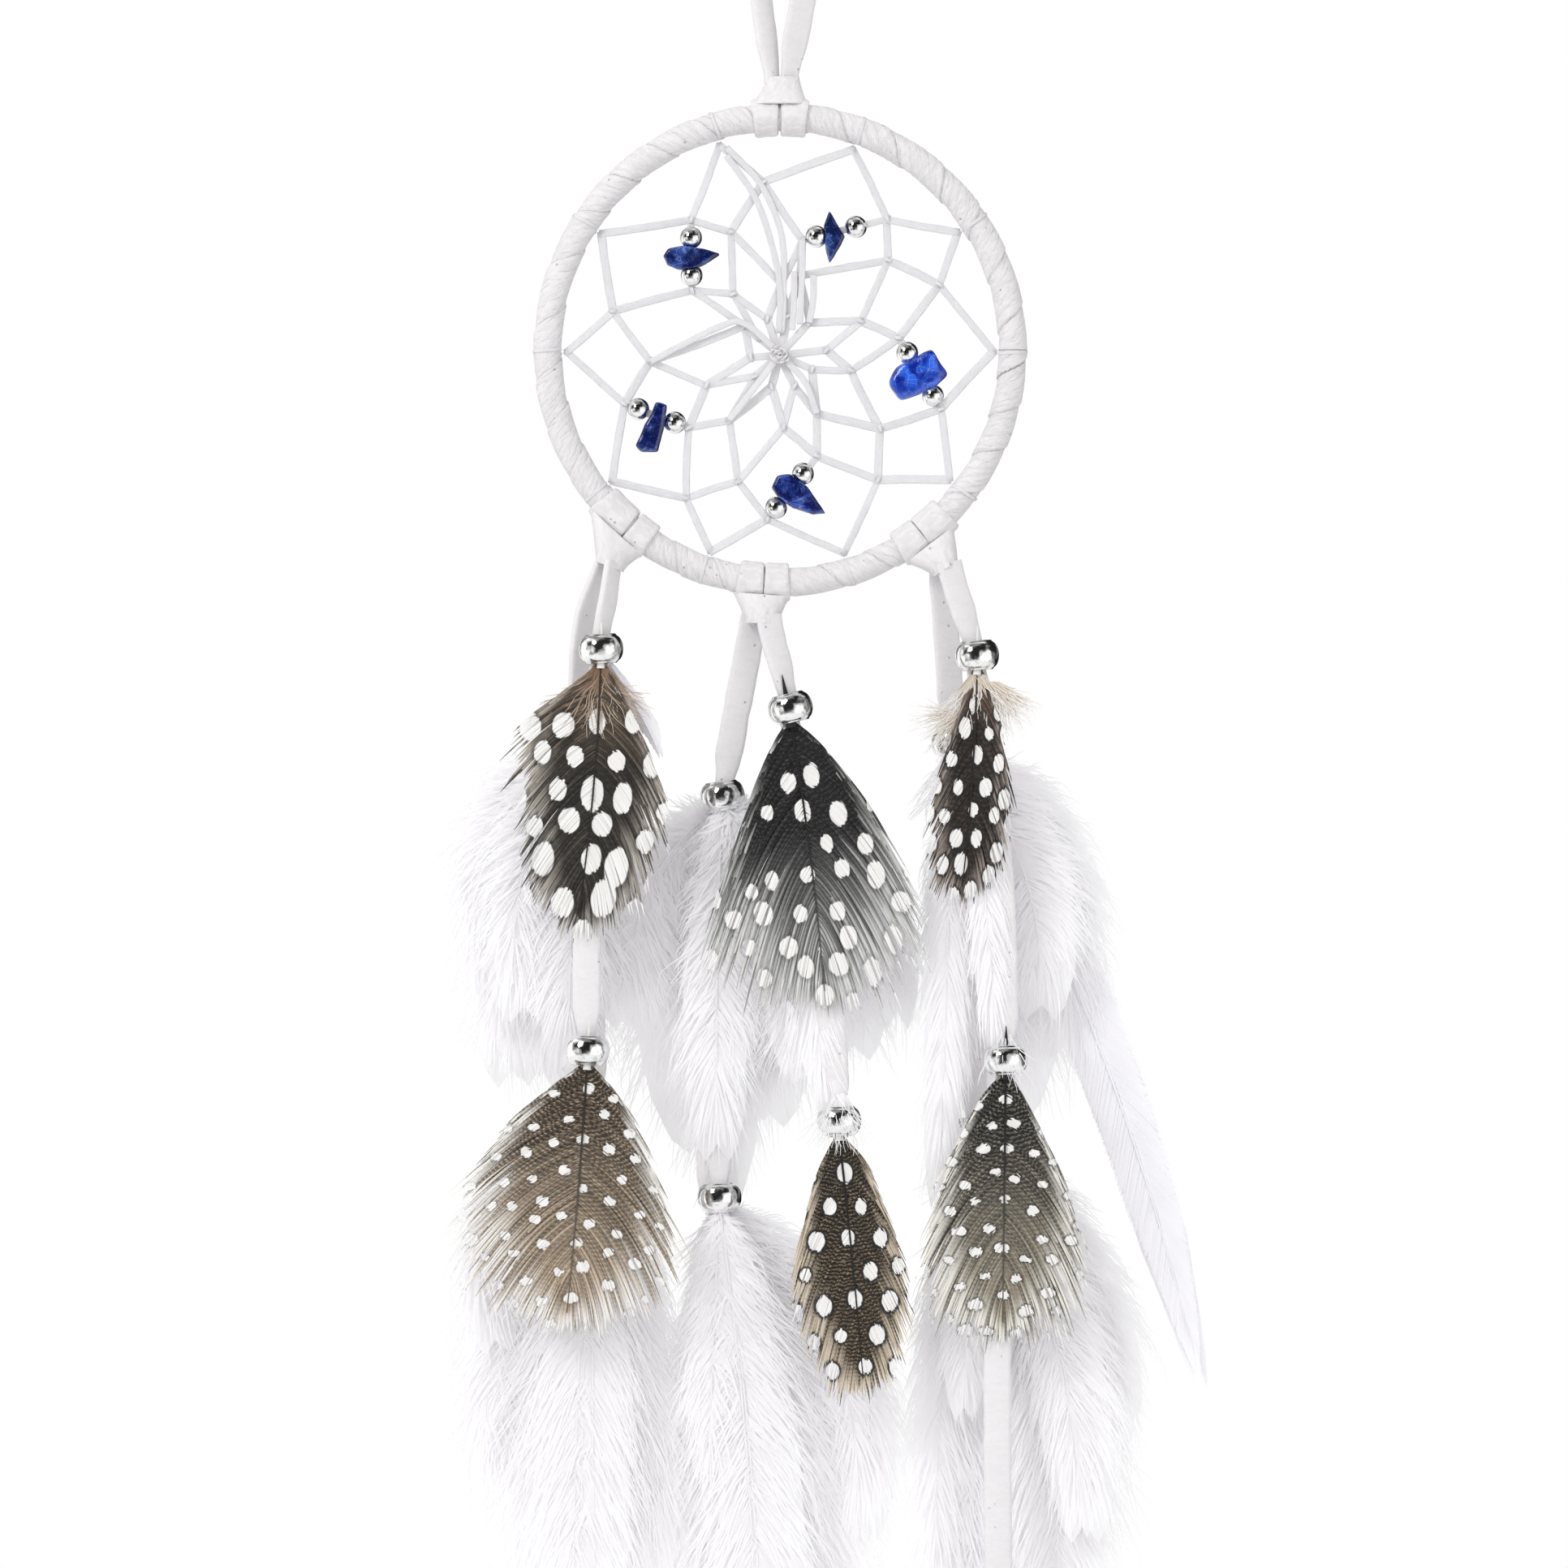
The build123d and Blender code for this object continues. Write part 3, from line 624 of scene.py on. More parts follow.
def collar(angle, spread, end, way, width, seed, depth=knot_depth, crease=0.10):
    """The bight of a lark's head: a sleeve whose wide end hugs the tube's outer side, spread degrees each
    way from angle, and whose mouth of this width and depth lets the strands out at end."""
    turn = circle(72)[None, :]
    across, front = np.cos(turn), np.sin(turn)
    rows = [(0.14, knot_wall), (0.0, knot_wall)] + [(t, 0.0) for t in np.linspace(0, 1, 34)]
    rows += [(1.0, knot_wall), (0.75, knot_wall)]
    way = unit(np.array(way, float))
    mouth_side = np.array([-way[1], way[0]])
    if mouth_side @ [math.sin(math.radians(angle)), -math.cos(math.radians(angle))] > 0:
        mouth_side = -mouth_side
    points, lay = [], []
    for t, inside in rows:
        flare = (1 - t) ** 1.8
        at_tube = np.radians(angle + spread * across * 0.98)
        far = hoop_radius + tube_radius * (0.93 + 0.07 * np.abs(across)) - inside * 0.2
        tube_x = hoop_centre[0] + far * np.cos(at_tube)
        tube_z = hoop_centre[2] + far * np.sin(at_tube)
        half = width / 2 - inside
        mouth_x = end[0] + mouth_side[0] * half * across
        mouth_z = end[1] + mouth_side[1] * half * across
        deep = (tube_radius + 0.95) * flare + depth / 2 * (1 - flare) - inside
        bulk = np.sign(front) * np.abs(front) ** 0.8
        x = tube_x * flare + mouth_x * (1 - flare)
        z = tube_z * (1 - t) ** 1.25 + mouth_z * (1 - (1 - t) ** 1.25)
        fold = crease * np.cos(turn * 5 + seed + 1.5 * t) * (1 - 0.5 * t)
        puckers = 0.07 * np.cos(turn * 13 + 2 * seed) * t
        y = hoop_centre[1] - bulk * (deep + fold + puckers)
        points.append(np.stack(np.broadcast_arrays(x, y, z), -1)[0])
        lay.append(np.stack(np.broadcast_arrays(turn * 2.2, t * 6 + inside, turn * 0), -1)[0])
    points, lay = np.array(points), np.array(lay)
    return points.reshape(-1, 3), grid(len(rows), 72, loop_columns=True), {"lay": lay.reshape(-1, 3)}


def make_knot(name, node, body, wraps, sleeve):
    """wraps are the (angle, width) of the turns across the tube, and sleeve is what collar takes."""
    parts = [wrap_band(angle, width, k) for k, (angle, width) in enumerate(wraps)]
    piece(name, *joined(parts + [collar(*sleeve)]), knot_leather, "white_lace", body, [node])


make_knot("hanging_knot_folds", "hanging_knot", "hanging_knot", [(93.6, 4.55), (86.6, 4.75)],
          (90.1, 6.7, (0.55, -65.2), (0, 1), 5.9, 1.0, 3.6, 0.06))
make_knot("left_tie_folds", "left_tie_knot", "hoop", [(-135.3, 7.0), (-127.0, 4.5)],
          (-132.2, 8.6, (-31.1, -154.6), (-0.35, -0.94), 5.4, 2.0))
make_knot("centre_tie_folds", "centre_tie_knot", "hoop", [(-97.25, 4.6), (-90.85, 4.5)],
          (-94.4, 6.9, (-3.3, -164.9), (0, -1), 6.3, 3.0))
make_knot("right_tie_folds", "right_tie_knot", "hoop", [(-56.0, 5.1), (-48.5, 5.9)],
          (-52.6, 7.2, (30.2, -155.0), (0.55, -0.83), 5.2, 4.0))


# ---- Web: flat thread, hitched and knotted inwards ----

hitch_angles = [106.5, 70.0, 33.5, -0.5, -37.5, -72.5, -109.0, -142.0, -179.5, 147.0]
web_rows = [
    [(-3.1, 30.6), (19.5, 23.8), (29.0, 11.8), (29.3, -10.8), (17.8, -23.7),
     (-2.4, -30.9), (-17.2, -27.1), (-28.4, -9.9), (-30.5, 7.0), (-16.3, 23.7)],
    [(4.0, 20.0), (19.7, 16.3), (21.6, 2.1), (18.2, -14.4), (6.7, -19.4),
     (-7.7, -24.0), (-16.7, -14.2), (-23.7, -2.2), (-16.1, 10.8), (-9.0, 21.5)],
    [(3.6, 13.5), (14.7, 5.2), (12.9, -3.8), (6.7, -11.7), (0.6, -14.2),
     (-9.3, -12.9), (-13.5, -6.5), (-6.5, 4.3), (-8.6, 10.2), (0.1, 12.0)],
    [(5.3, 4.9), (8.4, 0.0), (5.8, -3.6), (2.6, -6.6), (-1.6, -6.8),
     (-4.6, -4.8), (-5.4, -1.4), (-4.0, 2.2), (-2.4, 5.6), (1.4, 6.2)]]
web_centre = (-0.1, -1.0)
thread_width = 1.45
thread_thickness = 0.34
# A second strand runs beside some of the threads.
double_strands = [
    [(-9.8, 36.9), (-3.7, 30.3), (0.2, 21.0), (0.6, 10.6), (0.3, 3.0)],
    [(-9.8, 35.4), (-4.5, 27.6), (-1.3, 18.2), (0.0, 10.6), (-0.3, 3.0)],
    [(2.6, 14.3), (2.5, 9.0), (2.2, 3.6)],
    [(4.0, 20.0), (4.0, 14.4), (3.6, 4.6)],
    [(6.1, 13.6), (6.0, 9.0), (5.3, 4.9)],
    [(-23.7, -2.2), (-11.2, 4.1), (-6.6, 4.8), (-1.0, 0.2)],
    [(6.7, -11.7), (4.6, -6.0), (1.2, -2.2)],
    [(-9.3, -12.9), (-4.4, -6.6), (-1.0, -2.2)]]


def web_place(place, y=0.0):
    return np.array([hoop_centre[0] + place[0], hoop_centre[1] + y, hoop_centre[2] + place[1]])


def thread_run(draw, start, stop):
    """One thread between two knots, a little slack and turned by chance."""
    a, b = web_place(start), web_place(stop)
    far = np.linalg.norm(b - a)
    way = (b - a) / far
    sag = np.array([draw.uniform(-1, 1) for axis in range(3)]) * 0.012 * far
    past_knot = way * 0.35
    line = catmull([a - past_knot, (a + b) / 2 + sag, b + past_knot], max(6, int(far)))
    turns = [draw.uniform(-most, most) for most in (25, 12, 25)]
    twist = np.interp(np.linspace(0, 1, len(line)), [0, 0.5, 1], turns)
    return band(line, thread_width * draw.uniform(0.85, 1.1), thread_thickness, twist, 0.1, 0.08)


def second_strand(draw, places, in_front):
    line = catmull([web_place(place, -in_front) for place in places], 40)
    twist = np.linspace(draw.uniform(-10, 10), draw.uniform(-10, 10), len(line))
    return band(line, thread_width * 0.8, thread_thickness, twist, 0.1, 0.08)


def half_hitch(draw, knot):
    """The thread turns round the strand that it hangs from."""
    turn = np.linspace(draw.uniform(0, 2), draw.uniform(7.4, 8.6), 26)
    tilt = draw.uniform(0, math.pi)
    hitch = np.stack([np.cos(turn) * 0.62, np.sin(turn) * 0.5, (turn - 5) * 0.11], 1)
    return band(web_place(knot) + tilted(hitch, tilt), 0.62, 0.3, draw.uniform(-15, 25), 0.0, 0.05)


def hoop_hitch(angle):
    """The thread goes once round the tube, outside the wrap."""
    tube = np.linspace(math.pi - 0.35, -math.pi + 0.35, 60)
    lean = np.radians(angle) + 0.010 * np.linspace(-1, 1, 60)
    line = on_tube(lean, tube, np.full(60, tube_radius + 0.02))
    out = unit(line - on_tube(lean, tube, np.zeros(60)))
    return band(line, 0.6, 0.22, 0.0, 0.0, 0.05, out)


def centre_turn(draw, number):
    """One of the turns that are pulled into a knot in the middle."""
    turn = np.linspace(0, 2 * math.pi * 0.92, 40) + draw.uniform(0, 6)
    wide, tall = draw.uniform(0.2, 1.7), draw.uniform(0.2, 1.4)
    tilt = draw.uniform(0, math.pi)
    y = -0.7 + 0.9 * np.sin(turn * 2 + number) + draw.uniform(-0.5, 0.5)
    line = web_place(web_centre) + tilted(np.stack([np.cos(turn) * wide, y, np.sin(turn) * tall], 1), tilt)
    return band(line, 0.95, thread_thickness, np.linspace(20, 120, 40), 0.0, 0.06)


def make_web():
    draw = random.Random(11)
    hitch_far = hoop_radius - tube_radius - 0.9
    outer = [(hitch_far * math.cos(math.radians(a)), hitch_far * math.sin(math.radians(a)))
             for a in hitch_angles]
    rows = [outer] + web_rows
    runs = [(above[(k + side) % len(above)], knot) for above, below in zip(rows, rows[1:])
            for k, knot in enumerate(below) for side in (0, 1)]
    runs += [(knot, web_centre) for knot in rows[-1]]
    parts = [thread_run(draw, *run) for run in runs]
    parts += [second_strand(draw, places, 0.5 + 0.12 * k) for k, places in enumerate(double_strands)]
    parts += [half_hitch(draw, knot) for row in web_rows for knot in row]
    parts += [hoop_hitch(angle) for angle in hitch_angles]
    parts += [centre_turn(draw, k) for k in range(18)]
    piece("web_ribbons", *joined(parts), web_fabric, "web_thread", "hoop", ["web_thread"])


make_web()


# ---- Stone chips and silver balls ----

chip_bumps = 0.12


def polished(name, voxel, smooth_turns, whole):
    """The CAD node's own shape with its corners tumbled away and slightly uneven. A whole one loses its
    hollows first."""
    copy = placed(name + " copy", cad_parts[name].data.copy())
    if whole:
        solid = bmesh.new()
        solid.from_mesh(copy.data)
        made = bmesh.ops.convex_hull(solid, input=solid.verts)
        inside = [v for v in made["geom_interior"] if isinstance(v, bmesh.types.BMVert)]
        bmesh.ops.delete(solid, geom=inside, context="VERTS")
        solid.to_mesh(copy.data)
        solid.free()
    remesh = copy.modifiers.new("even", "REMESH")
    remesh.mode = "VOXEL"
    remesh.voxel_size = voxel * MM
    soften = copy.modifiers.new("soften", "SMOOTH")
    soften.factor = 0.5
    soften.iterations = smooth_turns
    mesh = built(copy)
    points = np.array([v.co for v in mesh.vertices]) / MM
    normals = np.array([v.normal for v in mesh.vertices])
    flats = np.array([noise.cell(Vector(n) * 1.6 + Vector((0.5, 0, 0))) for n in normals])
    uneven = rough_noise(points, 0.5) * chip_bumps + (flats - 0.5) * chip_bumps * 0.15
    points = points + normals * uneven[:, None]
    faces = np.array([list(p.vertices) for p in mesh.polygons if len(p.vertices) == 4])
    bpy.data.meshes.remove(mesh)
    return points, faces


chip_looks = {
    "top_left": dict(deep=(0.002, 0.008, 0.075), bright=(0.030, 0.085, 0.36), patch=0.34, sizes=(1.05, 1, 1)),
    "top_right": dict(deep=(0.002, 0.008, 0.065), bright=(0.024, 0.070, 0.30), patch=0.38,
                      sizes=(0.92, 0.9, 0.98)),
    "right": dict(deep=(0.002, 0.016, 0.27), bright=(0.02, 0.13, 0.78), patch=0.30, sizes=(1.09, 1.05, 1.13),
                  voxel=0.26, smooth_turns=75, whole=True),
    "bottom": dict(deep=(0.002, 0.007, 0.085), bright=(0.018, 0.060, 0.36), patch=0.40,
                   sizes=(1.06, 1, 1.14)),
    "left": dict(deep=(0.001, 0.006, 0.075), bright=(0.010, 0.040, 0.25), patch=0.34, sizes=(1.30, 1, 1.04)),
}


def make_chips():
    for place, look in chip_looks.items():
        name = place + "_chip"
        points, faces = polished(name, look.get("voxel", 0.2), look.get("smooth_turns", 16),
                                 look.get("whole", False))
        centre = middle(name)
        points = centre + (points - centre) * look["sizes"]
        stone = blue_stone(place + " stone", look["deep"], look["bright"], look["patch"])
        piece(name + "_stone", points, faces, {}, stone, "blue_stone", name, [name])


def lathe(far, height, turn):
    """Points of an outline that is turned about its own upright axis."""
    x, y = far * np.cos(turn), far * np.sin(turn)
    return np.stack([x, y, np.broadcast_to(height, x.shape)], -1).reshape(-1, 3)


def ball_mesh(centre, radius, hole, axis):
    """A drilled ball: a sphere with its ends opened where the thread passes."""
    rows, columns = 34, 56
    start = math.asin(hole / radius)
    tilt = np.linspace(start, math.pi - start, rows)[:, None]
    turn = circle(columns)[None, :]
    local = lathe(np.sin(tilt), np.cos(tilt), turn) * radius
    inner = local.reshape(rows, columns, 3)[[0, -1]] * [0.8, 0.8, 0.86]
    axis = unit(axis)
    side = unit(np.cross(axis, (0, 1, 0)))
    turnover = np.stack([side, np.cross(axis, side), axis])
    faces = list(grid(rows, columns, loop_columns=True))
    first = rows * columns
    for end, row in ((0, 0), (1, rows - 1)):
        for k in range(columns):
            n = (k + 1) % columns
            a, b = row * columns + k, row * columns + n
            c, d = first + end * columns + k, first + end * columns + n
            faces.append([b, a, c, d] if end == 0 else [a, b, d, c])
    points = np.vstack([local, inner.reshape(-1, 3)]) @ turnover + np.array(centre)
    return points, np.array(faces), {}


ball_radius = 2.0
ball_hole = 0.62


def make_balls():
    for name in chip_looks:
        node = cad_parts[name + "_balls"]
        places = np.array([v.co for v in node.data.vertices]) / MM
        low, high = places.min(0), places.max(0)
        centre = (low + high) / 2
        # The two balls touch opposite corners of their box, and the points show which diagonal it is.
        across = places[:, [0, 2]] - centre[[0, 2]]
        slope = np.sign((across[:, 0] * across[:, 1]).sum())
        half = (high - low - 2 * ball_radius) * [1, 0, slope] / 2
        parts = [ball_mesh(centre + half * s, ball_radius, ball_hole, half) for s in (-1, 1)]
        piece(name + "_ball_pair", *joined(parts), ball_chrome, "silver_ball", "hoop", [name + "_balls"])


make_chips()
make_balls()


# ---- Ring beads ----

def bead_mesh(centre, tilt, seed):
    """A plump ring bead: a lathe shape with a rolled lip at each end of its hole."""
    half = [(2.15, 0.0), (2.15, 1.2), (2.2, 2.1), (2.32, 2.55), (2.58, 2.72), (2.82, 2.6), (2.98, 2.36),
            (3.22, 2.2), (3.55, 1.85), (3.82, 1.3), (3.98, 0.68), (4.03, 0.0)]
    outline = half + [(r, -z) for r, z in half[-2:0:-1]] + half[:1]
    outline = evenly(catmull(outline, 70), 71)[:-1]
    columns = 72
    turn = circle(columns)[None, :]
    local = lathe(outline[:, :1], outline[:, 1:], turn)
    local = local * (1 + 0.012 * rough_noise(local + seed * 3.3, 0.6)[:, None])
    return tilted(local, math.radians(tilt)) + centre, grid(len(outline), columns, True, True), {}


bead_tilts = {"left_front_upper": 3, "centre_front_upper": 14, "right_front_upper": 4, "left_front_lower": -2,
              "centre_rear_upper": 8, "centre_rear_lower": 4, "right_front_lower": 2}


def make_beads():
    for k, tail in enumerate(tails):
        for level, centre in (("upper", tail.upper_bead), ("lower", tail.lower_bead)):
            name = tail.name + "_" + level
            ring = bead_mesh(centre, bead_tilts.get(name, 0), k + (level == "lower") * 7)
            piece(name + "_ring_bead", *ring, bead_silver, "silver_bead", name, [name + "_bead"])


make_beads()


# ---- Feathers ----

class Feather:
    """The plane of one feather: a shaft from foot to tip that bows sideways, and the widths beside it."""

    def __init__(self, foot, tip, bow, profile, depth=0.0):
        self.foot, self.bow, self.depth = np.array(foot, float), bow, depth
        self.profile = np.array(profile, float)
        self.length = float(np.linalg.norm(tip - self.foot))
        self.way = (tip - self.foot) / self.length
        side = unit(np.cross(self.way, (0, -1, 0)))
        self.side = -side if side[0] < 0 else side

    def width(self, share, side):
        return np.interp(share, self.profile[:, 0], self.profile[:, 1 if side < 0 else 2])

    def outline(self, side):
        """Shares of the length, the widths there, and how far along the edge they are, from 0 to 1."""
        share = np.linspace(0, 1, 240)
        across = self.width(share, side)
        far = how_far(np.stack([across, share * self.length], 1))
        return share, across, far / far[-1]

    def place(self, across, along):
        """Points in space, for across and along in millimetres. Along may run past the tip."""
        share = along / self.length
        bend = self.bow * 4 * share * (1 - share)
        lean = self.bow * 4 * (1 - 2 * share) / self.length
        across_way = unit(self.side - self.way * lean[..., None])
        line = self.foot + self.way * along[..., None] + self.side * bend[..., None]
        points = line + across_way * across[..., None]
        points[..., 1] += self.depth * share * (1 - share) * 4
        return points


no_spot = -9.0


def vane_values(shape, reach, barb, flank=0.5, along=0.0, spot=no_spot, across=0.0, down=0.0):
    """What the feathers' materials read at each point of a mesh of this shape. reach goes from 0 at the shaft
    to 1 at a barb's end, barb differs from barb to barb, flank goes across a barb, and spot is positive
    inside a spot."""
    numbers = {"reach": reach, "barb": barb, "flank": flank, "along": along, "spot": spot}
    values = {key: np.broadcast_to(number, shape).ravel() for key, number in numbers.items()}
    values["vane"] = np.stack([np.broadcast_to(x, shape).ravel() for x in (across, down, 0.0)], 1)
    return values


def barb_routes(feather, draw, side, count, steps, soft, root_share=0.86, rooting=2.0, out=0.55, rise=0.28,
                ragged=0.06, clumps=14, overshoot=0.0, split=0.0):
    """Where the barbs of one side run: across and along at each step of each barb, and each barb's clump.
    root_share and rooting say where on the shaft they leave, out and rise how they bend, ragged, clumps,
    overshoot and split how they part, and soft how much they sway."""
    q = (np.arange(count) + draw.random(count) * 0.8) / count
    share, edge_across, edge_far = feather.outline(side)
    clump = draw.random(clumps + 2)
    group = np.interp(q * clumps, np.arange(clumps + 2), clump)
    group_edge = (q * clumps) % 1.0
    root = root_share * q**rooting * feather.length
    end_along = np.interp(q, edge_far, share) * feather.length
    full_across = side * np.interp(q, edge_far, edge_across)
    far = 1 + ragged * (draw.random(count) - 0.7) + ragged * 1.4 * (group - 0.5)
    far += overshoot * draw.random(count) ** 3
    end_across = full_across * far * (1 + split * (group_edge - 0.5))
    end_along = root + (end_along - root) * far + soft * (draw.random(count) - 0.5) * 6
    t = np.linspace(0, 1, steps)[None, :]
    mid_across = end_across[:, None] * (out + soft * 0.4 * (draw.random((count, 1)) - 0.5))
    climb = rise + soft * 0.3 * draw.random((count, 1))
    mid_along = root[:, None] + (end_along - root)[:, None] * climb
    across = 2 * t * (1 - t) * mid_across + t**2 * end_across[:, None]
    along = (1 - t) ** 2 * root[:, None] + 2 * t * (1 - t) * mid_along + t**2 * end_along[:, None]
    if soft:
        sway = draw.random((count, 2)) * 6.28
        size = soft * np.abs(end_across)[:, None] * 0.06 * t
        across = across + size * np.sin(t * 7 + sway[:, :1])
        along = along + size * np.sin(t * 6 + sway[:, 1:])
    return across, along, group


def barbs(feather, draw, count, steps=12, width=0.5, camber=1.2, wave=0.15, shingle=0.25, spots=None,
          soft=0.0, taper=0.25, thin_from=5.0, **routes):
    """The barbs of both sides of a vane, each a narrow strip that leaves the shaft and bends to the edge.
    camber, wave and shingle say how far they stand out, taper and thin_from how thin they end, and the rest
    is what barb_routes takes."""
    t = np.linspace(0, 1, steps)[None, :]
    edge = np.array([-1.0, 1.0])
    parts = []
    for side in (-1, 1):
        across, along, group = barb_routes(feather, draw, side, count, steps, soft, **routes)
        slope_a, slope_b = np.gradient(across, axis=1), np.gradient(along, axis=1)
        size = np.hypot(slope_a, slope_b) + 1e-9
        normal_a, normal_b = -slope_b / size, slope_a / size
        body = np.clip(1 - (1 - taper) * t**thin_from, 0, 1) * np.clip(0.35 + t * 8, 0, 1)
        half = width / 2 * body * (0.8 + 0.4 * draw.random((count, 1)))
        a = across[..., None] + normal_a[..., None] * half[..., None] * edge
        b = along[..., None] + normal_b[..., None] * half[..., None] * edge
        points = feather.place(a, b)
        share = np.abs(a) / max(1.0, feather.profile[:, 1:].max())
        lift = camber * share**2 + wave * np.sin(b * 0.55 + 3 * group[:, None, None])
        lift = lift + shingle * half[..., None] * edge + 0.12 * draw.random((count, 1, 1))
        lift = lift + soft * 1.6 * (draw.random((count, 1, 1)) - 0.5) * t[..., None]
        points[..., 1] += lift
        stray = 0.6 * (draw.random((count, 1, 1)) - 0.5)
        spot = spots(a, b + stray) if spots else no_spot
        values = vane_values(a.shape, t[..., None], draw.random((count, 1, 1)), edge * 0.5 + 0.5,
                             b / feather.length, spot, a, b)
        parts.append((points.reshape(-1, 3), strip_faces(count, steps), values))
    return joined(parts)


def shaft(feather, start, stop, radius_start, radius_stop, lift=-0.1, steps=40):
    """The feather's shaft from start to stop, in millimetres along it."""
    sides = 7
    along = np.linspace(start, stop, steps)
    line = feather.place(np.zeros(steps), along)
    line[:, 1] += lift
    points, faces = rod(line, np.linspace(radius_start, radius_stop, steps), sides)
    share = np.repeat(along / feather.length, sides)
    return points, faces, vane_values(len(points), np.clip(share, 0, 1) * 0.5, 0.0, 0.0, share)


def spot_rows(draw, feather, start, pitch, spread, size, slope, jitter, grow, stretch):
    """Pale spots in rows across the vane: a function of across and along that is positive inside one. Rows
    are pitch apart, spots spread apart in a row, and slope drops a row's ends. grow makes them larger
    towards the tip, and stretch is their length to their width."""
    marks = []
    row, along = 0, start
    wide = feather.profile[:, 1:].max()
    while along < feather.length * 1.02:
        shift = 0.5 if row % 2 else 0.0
        for k in range(-int(wide / spread) - 1, int(wide / spread) + 2):
            a = (k + shift) * spread + draw.uniform(-1, 1) * jitter * spread * 0.5
            b = along + slope * abs(a) + draw.uniform(-1, 1) * jitter * pitch * 0.5
            r = size * (1 + grow * (b / feather.length - 0.5)) * draw.uniform(0.8, 1.15)
            if draw.random() < 0.95:
                marks.append((a, b, r, r * stretch * draw.uniform(0.85, 1.2)))
        along += pitch
        row += 1

    def field(a, b):
        best = np.full(a.shape, no_spot)
        for x, y, rx, ry in marks:
            away = 1 - np.sqrt(((a - x) / rx) ** 2 + ((b - y) / ry) ** 2)
            best = np.maximum(best, away)
        return best

    return field


def tuft(draw, centre, count, length, spread, width=0.28, y_range=(-0.6, 0.6), way=(0, -1)):
    """Loose down: thin curling strands that leave one place, spread degrees to each side of way."""
    steps = 12
    t = np.linspace(0, 1, steps)[None, :]
    angle = draw.uniform(-spread, spread, (count, 1))
    base = math.atan2(way[0], -way[1])
    reach = length * draw.uniform(0.45, 1.0, (count, 1))
    turn = base + np.radians(angle) + np.radians(draw.uniform(-70, 70, (count, 1))) * t**1.5 * 0.5
    step = reach / (steps - 1)
    x = np.cumsum(np.sin(turn) * step, 1) + draw.uniform(-1, 1, (count, 1)) * 0.9
    z = -np.cumsum(np.cos(turn) * step, 1)
    x = x + 0.25 * np.sin(t * 9 + draw.uniform(0, 6, (count, 1))) * t
    y = draw.uniform(*y_range, (count, 1)) * t + draw.uniform(-0.4, 0.4, (count, 1))
    line = np.stack([x, y, z], -1) + np.array(centre)
    half = width / 2 * (1 - 0.75 * t) * np.ones((count, 1))
    normal = np.stack([np.cos(turn), 0.4 * np.ones_like(turn), np.sin(turn)], -1)
    points = line[:, :, None] + normal[:, :, None] * (half[..., None] * np.array([-1.0, 1.0]))[..., None]
    values = vane_values((count, steps, 2), t[..., None], draw.random((count, 1, 1)))
    return points.reshape(-1, 3), strip_faces(count, steps), values


